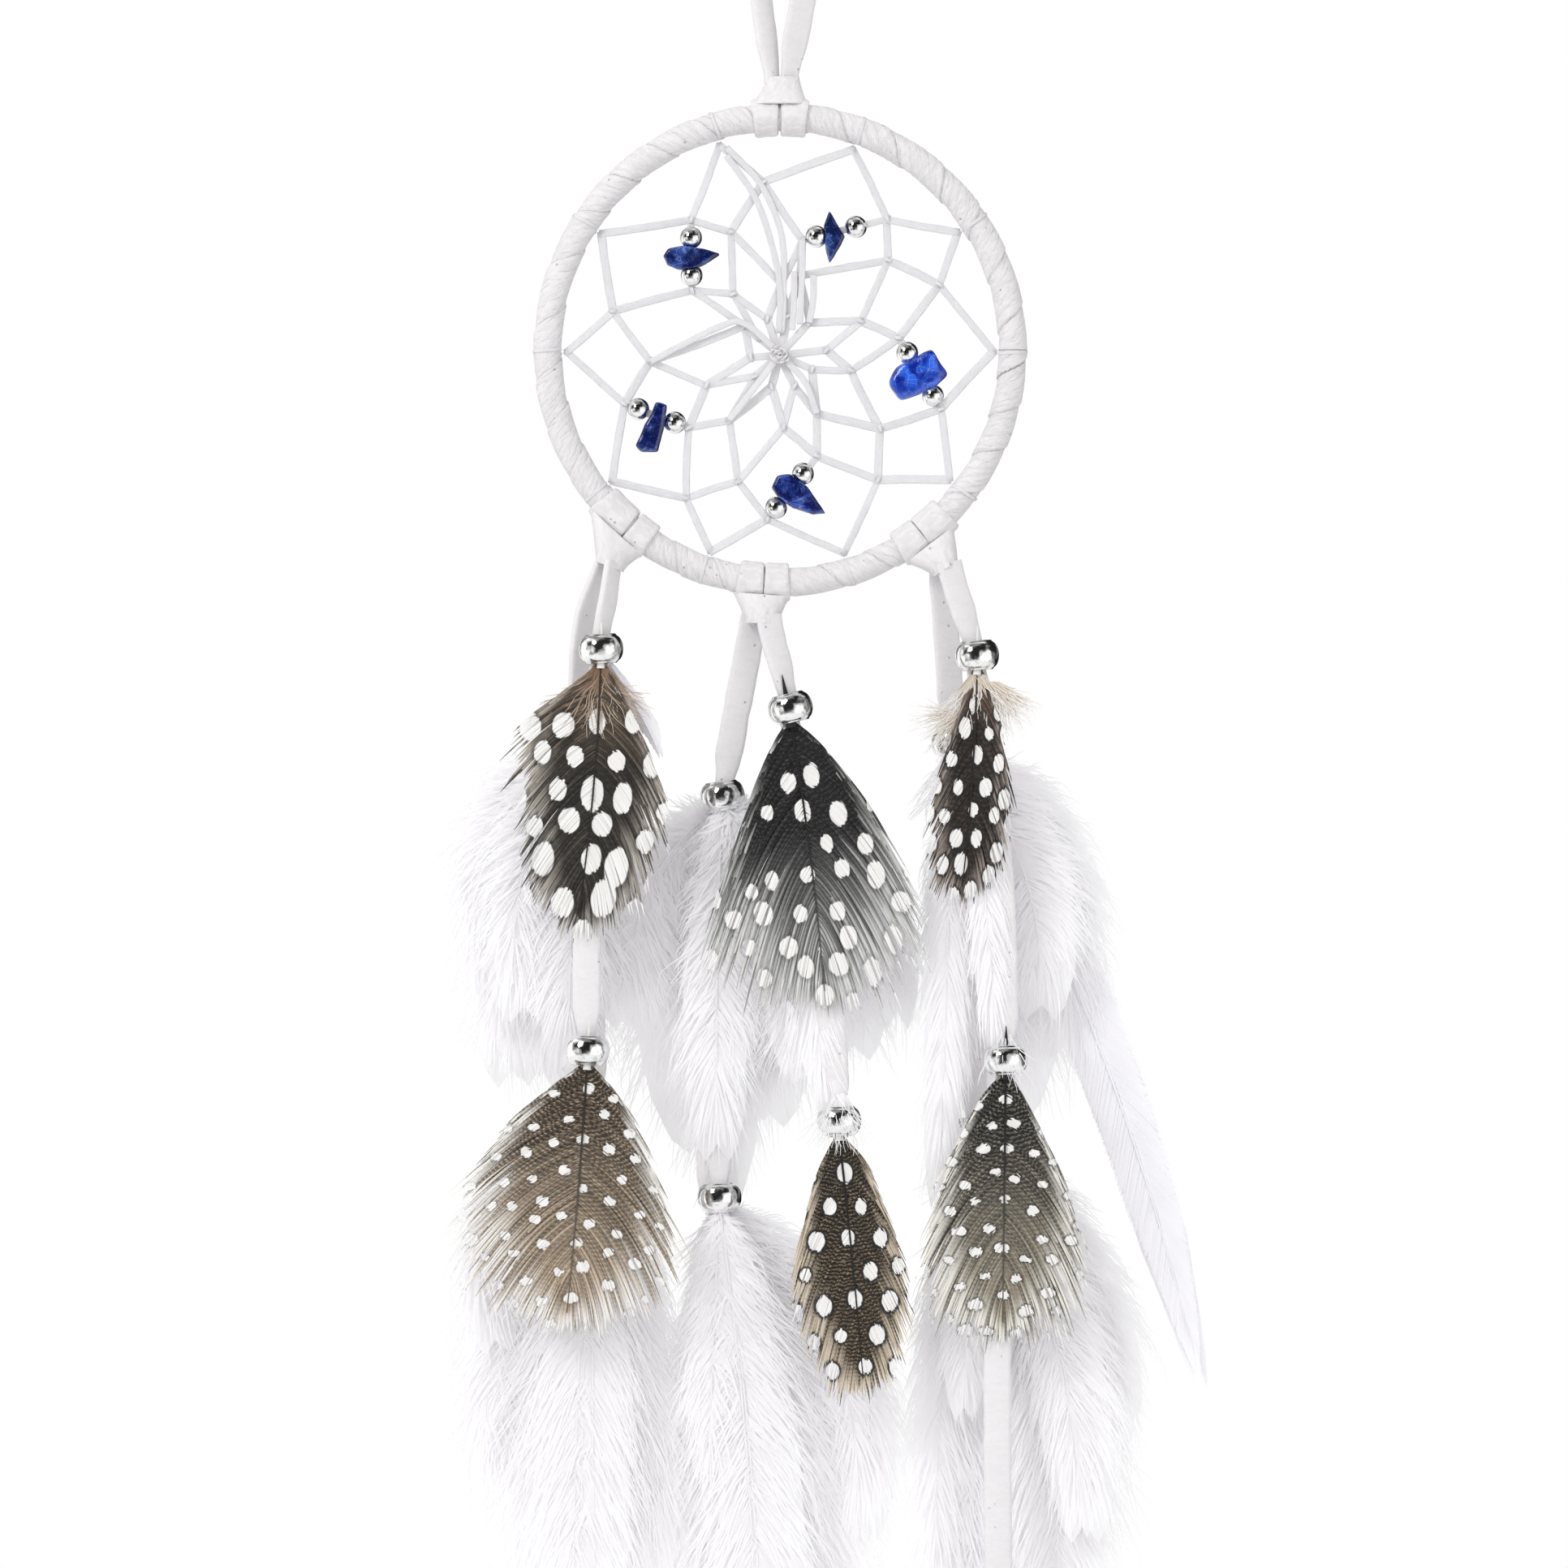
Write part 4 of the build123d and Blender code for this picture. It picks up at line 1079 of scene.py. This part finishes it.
# Each profile is (share of the length, width to the left, width to the right), and spots are the start,
# pitch, spread, size, slope, jitter, grow and stretch that spot_rows takes.
spotted = {
    "left_front_upper": dict(
        length=49, lean=-4.6, bow=0.8,
        profile=[(0, 1, 1), (0.08, 3.5, 2.2), (0.23, 13.0, 7), (0.45, 12.6, 12), (0.7, 10.2, 12),
                 (0.87, 8.6, 8.6), (0.96, 5, 5), (1, 0, 0)],
        spots=(9.5, 6.6, 6.6, 1.9, 0.2, 0.35, 0.15, 1.35),
        count=150, width=0.6, ragged=0.12, clumps=22, rooting=1.9, split=0.08,
        colours=dict(top=(0.17, 0.115, 0.072), low=(0.040, 0.030, 0.020), edge=(0.42, 0.38, 0.33), grain=0.05,
                     grain_size=1.1, rim=0.5, turn=(0.12, 0.42), barb_side_shade=0.3)),
    "centre_front_upper": dict(
        length=52, lean=6.4, bow=0.6, dark_quill=True,
        profile=[(0, 0.8, 0.8), (0.13, 5.4, 5.2), (0.19, 7.2, 7.0), (0.27, 9.4, 9.2), (0.36, 12.0, 11.4),
                 (0.58, 16.4, 16), (0.8, 18.5, 16.5), (0.92, 14, 13), (0.98, 8, 8), (1, 0, 0)],
        spots=(4.0, 5.9, 6.3, 1.5, 0.1, 0.4, 0.3, 1.25),
        count=140, width=0.62, ragged=0.16, clumps=30, rooting=3.0, split=0.1,
        colours=dict(top=(0.004, 0.004, 0.005), low=(0.46, 0.46, 0.44), edge=(0.62, 0.62, 0.60), grain=0.05,
                     grain_size=1.3, rim=0.3, turn=(0.35, 0.95), barb_side_shade=0.3)),
    "right_front_upper": dict(
        length=42, lean=-3.0, bow=0.5,
        profile=[(0, 0.7, 1.0), (0.1, 2, 2), (0.25, 3.2, 4.4), (0.39, 4.6, 5.5), (0.53, 6, 6),
                 (0.68, 6.2, 6.3), (0.83, 6, 6), (0.94, 4.6, 3.4), (1, 0, 0)],
        spots=(5.5, 5.0, 4.0, 1.05, 0.3, 0.35, 0.3, 1.5),
        ragged=0.16, clumps=20, rooting=1.8, split=0.16,
        colours=dict(top=(0.09, 0.05, 0.03), low=(0.020, 0.011, 0.007), edge=(0.34, 0.28, 0.24), grain=0.1,
                     grain_size=1.2, rim=0.9, turn=(0.08, 0.3))),
    "left_front_lower": dict(
        length=48, lean=-4.0, bow=0.3,
        profile=[(0, 0.8, 0.8), (0.16, 9, 7.4), (0.28, 13.9, 10.6), (0.41, 17.4, 13.2), (0.53, 19.7, 15.5),
                 (0.65, 19.6, 17.4), (0.78, 17.2, 16.6), (0.9, 12.5, 13), (0.97, 7, 8), (1, 0, 0)],
        spots=(4, 4.7, 5.4, 1.15, 0.3, 0.4, 0.2, 0.7),
        ragged=0.1, clumps=26, rooting=1.9, split=0.06,
        colours=dict(top=(0.045, 0.028, 0.015), low=(0.36, 0.28, 0.20), edge=(0.86, 0.84, 0.80),
                     bar=(0.60, 0.47, 0.33), grain=0.5, grain_size=1.45, rim=0.3, turn=(0.1, 0.9))),
    "centre_front_lower": dict(
        length=47, lean=4.6, bow=0.2,
        profile=[(0, 0.6, 0.6), (0.16, 4.8, 5.1), (0.29, 7.1, 6.3), (0.41, 8.5, 7.8), (0.54, 10, 8.6),
                 (0.66, 10.4, 8.7), (0.79, 8.3, 7.6), (0.91, 6.6, 6.2), (0.98, 4.2, 4.2), (1, 0, 0)],
        spots=(6.5, 6.0, 5.6, 1.35, 0.05, 0.25, 0.1, 1.15),
        ragged=0.12, clumps=16, rooting=2.2, split=0.06,
        colours=dict(top=(0.006, 0.004, 0.002), low=(0.020, 0.012, 0.006), edge=(0.66, 0.56, 0.43),
                     bar=(0.56, 0.41, 0.25), grain=0.42, grain_size=1.7, rim=1.0, turn=(0.1, 0.9))),
    "right_front_lower": dict(
        length=48, lean=-0.6, bow=0.0, dark_quill=True,
        profile=[(0, 0.8, 0.8), (0.12, 4.9, 3.8), (0.25, 7.8, 6.8), (0.37, 10, 9.4), (0.49, 11.7, 11.5),
                 (0.62, 13, 13.3), (0.74, 13.7, 14), (0.86, 11.4, 11.7), (0.96, 6.4, 6.8), (1, 0, 0)],
        spots=(4, 4.6, 4.9, 1.3, 0.3, 0.4, 0.0, 0.62),
        ragged=0.12, clumps=20, rooting=2.2, split=0.06,
        colours=dict(top=(0.005, 0.004, 0.003), low=(0.27, 0.235, 0.175), edge=(0.85, 0.83, 0.77),
                     bar=(0.50, 0.45, 0.35), grain=0.42, grain_size=1.5, rim=0.6, turn=(0.15, 0.95))),
}


def make_spotted(name, look, seed):
    draw = np.random.default_rng(seed)
    low, _ = low_high(name + "_spotted_feather")
    bead = middle(name + "_bead")
    foot = (bead[0], low[1] + 0.35, bead[2] - 2.6)
    tip = (bead[0] + look["lean"], foot[1], foot[2] - look["length"])
    feather = Feather(foot, tip, look["bow"], look["profile"], depth=-0.8)
    shared = dict(rooting=look["rooting"], split=look["split"], taper=0.12,
                  spots=spot_rows(random.Random(seed), feather, *look["spots"]))
    vane = barbs(feather, draw, look.get("count", 200), steps=30, width=look.get("width", 0.5), overshoot=0.2,
                 ragged=look["ragged"], clumps=look["clumps"], camber=-0.9, wave=0.12, **shared)
    under = barbs(feather, draw, 110, steps=24, root_share=0.82, overshoot=0.25,
                  ragged=look["ragged"] * 1.6, clumps=look["clumps"] - 3, camber=-0.5, wave=0.1, **shared)
    under[0][:, 1] += 0.45
    whole = joined([vane, under, shaft(feather, 0, feather.length * 0.94, 0.24, 0.10)])
    piece(name + "_spotted_vane", *whole, spotted_vane(name + " vane", **look["colours"]), "spotted_feather",
          name, [name + "_spotted_feather"])
    start, thick, horn = (-8.8, 1.1, dark_quill) if look.get("dark_quill") else (-8.0, 0.8, quill_horn)
    quill = shaft(feather, start, 1.0, 0.08, thick, lift=0.0, steps=24)
    piece(name + "_quill", *quill, horn, "spotted_feather", name)
    return feather.foot


spotted_feet = {}
for number, (feather_name, look) in enumerate(spotted.items()):
    spotted_feet[feather_name] = make_spotted(feather_name, look, 20 + number)


# Loose down at two feathers' feet: how far from the foot, count, length, spread and way of each tuft.
foot_down = {
    "left_front_upper": (tan_down, [
        ((0, 0.1, -0.5), 260, 12, 46, (0, -1)), ((-1, 0, -3), 160, 11, 70, (0, -1))]),
    "right_front_upper": (cream_down, [
        ((0, 0, -0.5), 240, 10, 40, (0, -1)), ((2.5, 0.4, -2), 140, 11, 30, (0.6, -0.8)),
        ((-2.5, 0.4, -8), 200, 9, 60, (-0.7, -0.7))]),
}


def make_foot_down():
    draw = np.random.default_rng(5)
    for name, (colour, tufts) in foot_down.items():
        parts = [tuft(draw, spotted_feet[name] + np.array(off), count, length, spread, way=way)
                 for off, count, length, spread, way in tufts]
        piece(name + "_down", *joined(parts), colour, "spotted_feather", name)


make_foot_down()


# ---- White plumes: bunches of soft feathers behind the spotted ones ----

# (share of the length, share of the full width).
soft_profile = [(0, 0.06), (0.06, 0.3), (0.18, 0.68), (0.38, 0.98), (0.6, 1), (0.8, 0.88), (0.92, 0.62),
                (0.98, 0.3), (1, 0)]

# Each feather is (middle, tip) from its bead, across and down, then its width to each side.
plumes = {
    "left_rear_upper": [
        ((-9.5, -28), (-12, -62), 11.5, 11), ((-3, -30), (-1, -64), 10, 10),
        ((-14.5, -19), (-16, -45), 9.5, 9), ((3, -24), (5, -52), 8, 7), ((-8, -22), (-10, -50), 10, 10)],
    "left_rear_lower": [
        ((-14, -30), (-17, -72), 10, 12), ((-7, -42), (-6, -98), 14, 13), ((3, -38), (5, -92), 11, 11),
        ((-16, -18), (-18, -42), 8, 9), ((8, -44), (11, -86), 8, 8), ((-2, -52), (-2, -112), 12, 12)],
    "centre_rear_upper": [
        ((-6, -26), (-3, -62), 13, 12), ((6, -26), (8, -58), 13, 13), ((18, -22), (24, -46), 11, 11),
        ((-13, -18), (-15, -40), 9, 9), ((27, -18), (32, -40), 8, 7), ((1, -38), (-1, -74), 8, 9),
        ((12, -22), (16, -50), 12, 12)],
    "centre_rear_lower": [
        ((4, -38), (4, -92), 13, 14), ((15, -42), (20, -98), 12, 11), ((-1, -42), (-4, -98), 9, 12),
        ((21, -26), (27, -60), 8, 8), ((9, -28), (12, -68), 12, 12), ((6, -50), (8, -102), 13, 13)],
    "right_rear_upper": [
        ((9, -28), (11, -66), 12, 12), ((17, -25), (20, -56), 10, 9), ((15, -15), (22, -38), 7, 7),
        ((3, -28), (3, -62), 8, 9), ((12, -20), (16, -48), 10, 10)],
    "right_rear_lower": [
        ((11, -34), (13, -88), 14, 14), ((20, -27), (26, -56), 8, 7), ((1, -40), (1, -98), 11, 12),
        ((-5, -48), (-5, -92), 7, 9), ((13, -52), (15, -108), 11, 12), ((16, -40), (20, -72), 9, 10)],
}

# Feathers of a bunch that hang in front of its own lace: middle, tip, half width, and how far in front.
lace_covers = {
    "left_rear_upper": [((-1, -26), (-2, -60), 8, 1.7)],
    "centre_rear_upper": [((-1, -28), (-1, -64), 8, 1.7), ((2, -20), (1, -48), 7, 1.9)],
    "right_rear_upper": [((2, -26), (1, -62), 7, 1.7), ((-1.2, -36), (-2.8, -82), 4.8, 5.0)],
    "centre_rear_lower": [((-1, -22), (-2, -50), 6, 1.7)],
    "right_rear_lower": [((-1, -22), (-2, -50), 6, 1.7)],
}


def inner_vane(feather, draw, share):
    """The close, soft middle of a plume, where its barbs lie so near that none shows alone."""
    rows, columns = 40, 13
    along = np.linspace(0.02, 0.97, rows)[:, None]
    across = np.linspace(-1, 1, columns)[None, :]
    half = np.where(across < 0, feather.width(along, -1), feather.width(along, 1)) * share
    start = draw.random(3) * 50
    spot = np.stack(np.broadcast_arrays(along * 5 + start[0], across * 1.2 + start[1], along * 0), -1)
    sway = rough_noise(spot.reshape(-1, 3), 1.0).reshape(rows, columns)
    a = across * half * (1 + 0.12 * sway)
    b = (along + 0.05 * np.abs(across)) * feather.length
    points = feather.place(a, b)
    points[..., 1] += 0.7 * across**2 + 0.9 * sway + 0.35
    values = vane_values(a.shape, np.abs(across) * 0.6, 0.6, along=b / feather.length, across=a, down=b)
    return points.reshape(-1, 3), grid(rows, columns), values


def soft_feather(draw, foot, mid, tip, left, right, y, count=230, width=0.34, soft=1.2, share=0.72):
    """One soft plume from foot to tip, (x, z) places, with fine wavy barbs. mid is where it bows to."""
    chord = tip - foot
    side = unit(np.array([-chord[1], chord[0]]))
    bow = float((mid - (foot + chord * 0.5)) @ (-side if side[0] < 0 else side))
    profile = [(s, left * wide, right * wide) for s, wide in soft_profile]
    feather = Feather((foot[0], y, foot[1]), (tip[0], y, tip[1]), bow, profile, depth=draw.uniform(-0.5, 1.2))
    vane = barbs(feather, draw, count, steps=9, width=width, root_share=0.84, rooting=1.35, out=0.6,
                 rise=0.25, ragged=0.3, clumps=17, camber=0.6, wave=0.35, shingle=0.2, overshoot=0.3,
                 soft=soft, taper=0.1, thin_from=2.0)
    return [vane, inner_vane(feather, draw, share), shaft(feather, 0, feather.length * 0.9, 0.22, 0.06)]


def make_plume(name, feathers, seed):
    draw = np.random.default_rng(seed)
    low, high = low_high(name + "_white_plume")
    bead = middle(name + "_bead")
    parts = []
    foot = np.array([bead[0], bead[2] - 1.5])
    deep = np.linspace(high[1] - 1.0, low[1] + 0.8, len(feathers))
    deep[-1] = rear_lace_y - 1.6
    for y, (mid, tip, left, right) in zip(deep, feathers):
        mid, tip = foot + mid, foot + tip
        parts += soft_feather(draw, foot, mid, tip, left, right, y)
        for turn in (-1, 1):
            sway = np.array([turn * draw.uniform(1.0, 3.0), draw.uniform(1.0, 6.0)])
            parts += soft_feather(draw, foot, mid + sway * 0.6, tip + sway, left * 0.8, right * 0.8,
                                  y + turn * 0.5, count=170, soft=1.5, share=0.6)
    for mid, tip, half, forward in lace_covers.get(name, ()):
        parts += soft_feather(draw, foot, foot + mid, foot + tip, half, half, rear_lace_y - forward,
                              soft=1.3, share=0.75)
    parts.append(tuft(draw, (bead[0], bead[1] + 1.4, bead[2] - 1.5), 200, 14, 38, width=0.3))
    piece(name + "_plume_bunch", *joined(parts), white_down, "white_plume", name, [name + "_white_plume"])


for number, (plume_name, feathers) in enumerate(plumes.items()):
    make_plume(plume_name, feathers, 60 + number)


def make_right_hackle(draw):
    """The stiff feather that stands out at the right."""
    low, high = low_high("right_hackle")
    y = (low[1] + high[1]) / 2
    profile = [(0, 0.5, 0.5), (0.2, 4, 4), (0.5, 6, 6), (0.75, 5, 5), (0.92, 2.4, 2.4), (1, 0.4, 0.4)]
    feather = Feather((low[0] + 1.5, y, high[2] - 1.5), (high[0] - 0.5, y, low[2] + 0.5), 4.0, profile)
    vane = barbs(feather, draw, 260, steps=10, root_share=0.95, rooting=1.2, out=0.5, rise=0.45, ragged=0.05,
                 camber=0.6, wave=0.1)
    parts = [vane, inner_vane(feather, draw, 0.9), shaft(feather, 0, feather.length * 0.96, 0.4, 0.1)]
    piece("right_hackle_vane", *joined(parts), hackle_down, "white_plume", "right_rear_upper",
          ["right_hackle"])


def make_left_hackle(draw):
    """The thin feather at the upper left bead."""
    low, high = low_high("left_hackle")
    y = (low[1] + high[1]) / 2
    bead = middle("left_front_upper_bead")
    profile = [(0, 0.3, 0.3), (0.3, 1.0, 1.3), (0.7, 1.3, 2.0), (1, 0.3, 0.4)]
    feather = Feather((bead[0] + 1.0, y, bead[2] - 2.0), (high[0], y, low[2]), 0.6, profile)
    vane = barbs(feather, draw, 120, steps=8, width=0.42, root_share=0.9, rooting=1.3, ragged=0.2, clumps=9)
    parts = [vane, shaft(feather, 0, feather.length * 0.95, 0.3, 0.1)]
    piece("left_hackle_vane", *joined(parts), hackle_down, "white_plume", "left_front_upper", ["left_hackle"])


hackle_draw = np.random.default_rng(91)
make_right_hackle(hackle_draw)
make_left_hackle(hackle_draw)


def make_front_fluff():
    """Soft white feathers that hang in front of two of the laces, and loose down over the lower beads."""
    for name, mid, tip, wide, seed, strands in (
            ("centre_front_upper", (3, -38), (7, -66), 6, 31, 90),
            ("right_front_upper", (1, -36), (4, -66), 4.5, 32, 24)):
        draw = np.random.default_rng(seed)
        bead = middle(name + "_bead")
        foot = np.array([bead[0] + 0.5, bead[2] - 8])
        made = soft_feather(draw, foot, foot + mid, foot + tip, wide, wide, front_lace_y - 1.1, count=150,
                            width=0.35)
        piece(name + "_soft_feather", *joined(made), white_down, "spotted_feather", name)
        lower = name.replace("upper", "lower")
        below = middle(lower + "_bead") + [0, -0.2, 5.5]
        over_bead = tuft(draw, below, strands, 11.0, 34, width=0.3, y_range=(-5.3, -4.4))
        piece(lower + "_bead_down", *over_bead, white_down, "spotted_feather", lower)


make_front_fluff()


# ---- The hidden ring keeps its CAD shape ----

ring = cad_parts["hoop_ring"]
ring.data.materials.clear()
ring.data.materials.append(silver("ring steel", 0.3, 0.05))


# ---- Stage: pale floor, white surroundings, soft lights, and panels for the silver to reflect ----

def make_surroundings():
    """A dome of bright and dark panels round the object, which only its reflections show."""
    bpy.ops.mesh.primitive_uv_sphere_add(segments=64, ring_count=32, radius=3.0)
    dome = bpy.context.object
    dome.name = "reflection_dome"
    made = bpy.data.materials.new("dome panels")
    nodes = Nodes(made)
    place = nodes.add("TexCoord").outputs["Generated"]
    blotches = nodes.add("TexNoise", {"Vector": place, "Scale": 2.1, "Detail": 0.6, "Distortion": 0.6})
    ramp = nodes.add("ValToRGB", {0: blotches.outputs["Fac"]})
    panels = [(0.0, 0.01), (0.42, 0.015), (0.45, 0.16), (0.53, 0.34), (0.56, 1.05), (1.0, 1.6)]
    while len(ramp.color_ramp.elements) < len(panels):
        ramp.color_ramp.elements.new(0.5)
    for stop, (where, bright) in zip(ramp.color_ramp.elements, panels):
        stop.position = where
        stop.color = (bright, bright, bright * 0.98, 1.0)
    glow = nodes.add("Emission", {"Color": ramp.outputs[0]})
    nodes.add("OutputMaterial", {0: glow.outputs[0]})
    dome.data.materials.append(made)
    for seen_by in ("camera", "diffuse", "shadow", "transmission"):
        setattr(dome, "visible_" + seen_by, False)


def make_world():
    """White behind the object for the eye, and a soft light that is strongest from the upper left."""
    world = bpy.data.worlds.new("white surroundings")
    nodes = Nodes(world)
    place = nodes.add("TexCoord").outputs["Generated"]
    toward = nodes.add("VectorMath", {0: place, 1: (-0.45, -0.30, 0.84)}, operation="DOT_PRODUCT")
    shade = nodes.add("MapRange", {"Value": toward.outputs["Value"], "From Min": -1.0, "From Max": 1.0,
                                   "To Min": 0.60, "To Max": 1.08})
    soft = nodes.add("Background", {"Color": (1, 1, 1), "Strength": shade.outputs[0]})
    white = nodes.add("Background", {"Color": (1, 1, 1)})
    seen = nodes.add("LightPath").outputs["Is Camera Ray"]
    both = nodes.add("MixShader", {0: seen, 1: soft.outputs[0], 2: white.outputs[0]})
    nodes.add("OutputWorld", {0: both.outputs[0]})
    bpy.context.scene.world = world


def make_floor():
    """A round floor, in metres, just under the object."""
    radius, height, corners = 0.5, -0.42, 96
    mesh = bpy.data.meshes.new("floor")
    rim = [(radius * math.cos(a), radius * math.sin(a), height) for a in circle(corners)]
    mesh.from_pydata(rim, [], [tuple(range(corners))])
    mesh.materials.append(Shade("floor paint").finish((0.86, 0.86, 0.87), 0.8))
    placed("floor", mesh)


def make_lamps():
    """Area lamps, in metres and watts, that face the middle of the object."""
    for name, place, size, power in (
            ("key", (-0.95, -1.1, 0.75), 0.45, 8.0), ("fill", (0.9, -1.5, 0.0), 1.0, 2.0)):
        lamp = bpy.data.lights.new(name, "AREA")
        lamp.size = size
        lamp.energy = power
        holder = placed(name, lamp)
        holder.location = place
        aim = Vector((0, 0, -0.19)) - Vector(place)
        holder.rotation_euler = aim.to_track_quat("-Z", "Y").to_euler()


make_floor()
make_surroundings()
make_world()
make_lamps()

# White down passes light on many times before it is lost.
cycles = bpy.context.scene.cycles
cycles.max_bounces = 24
cycles.diffuse_bounces = 12
cycles.transmission_bounces = 16
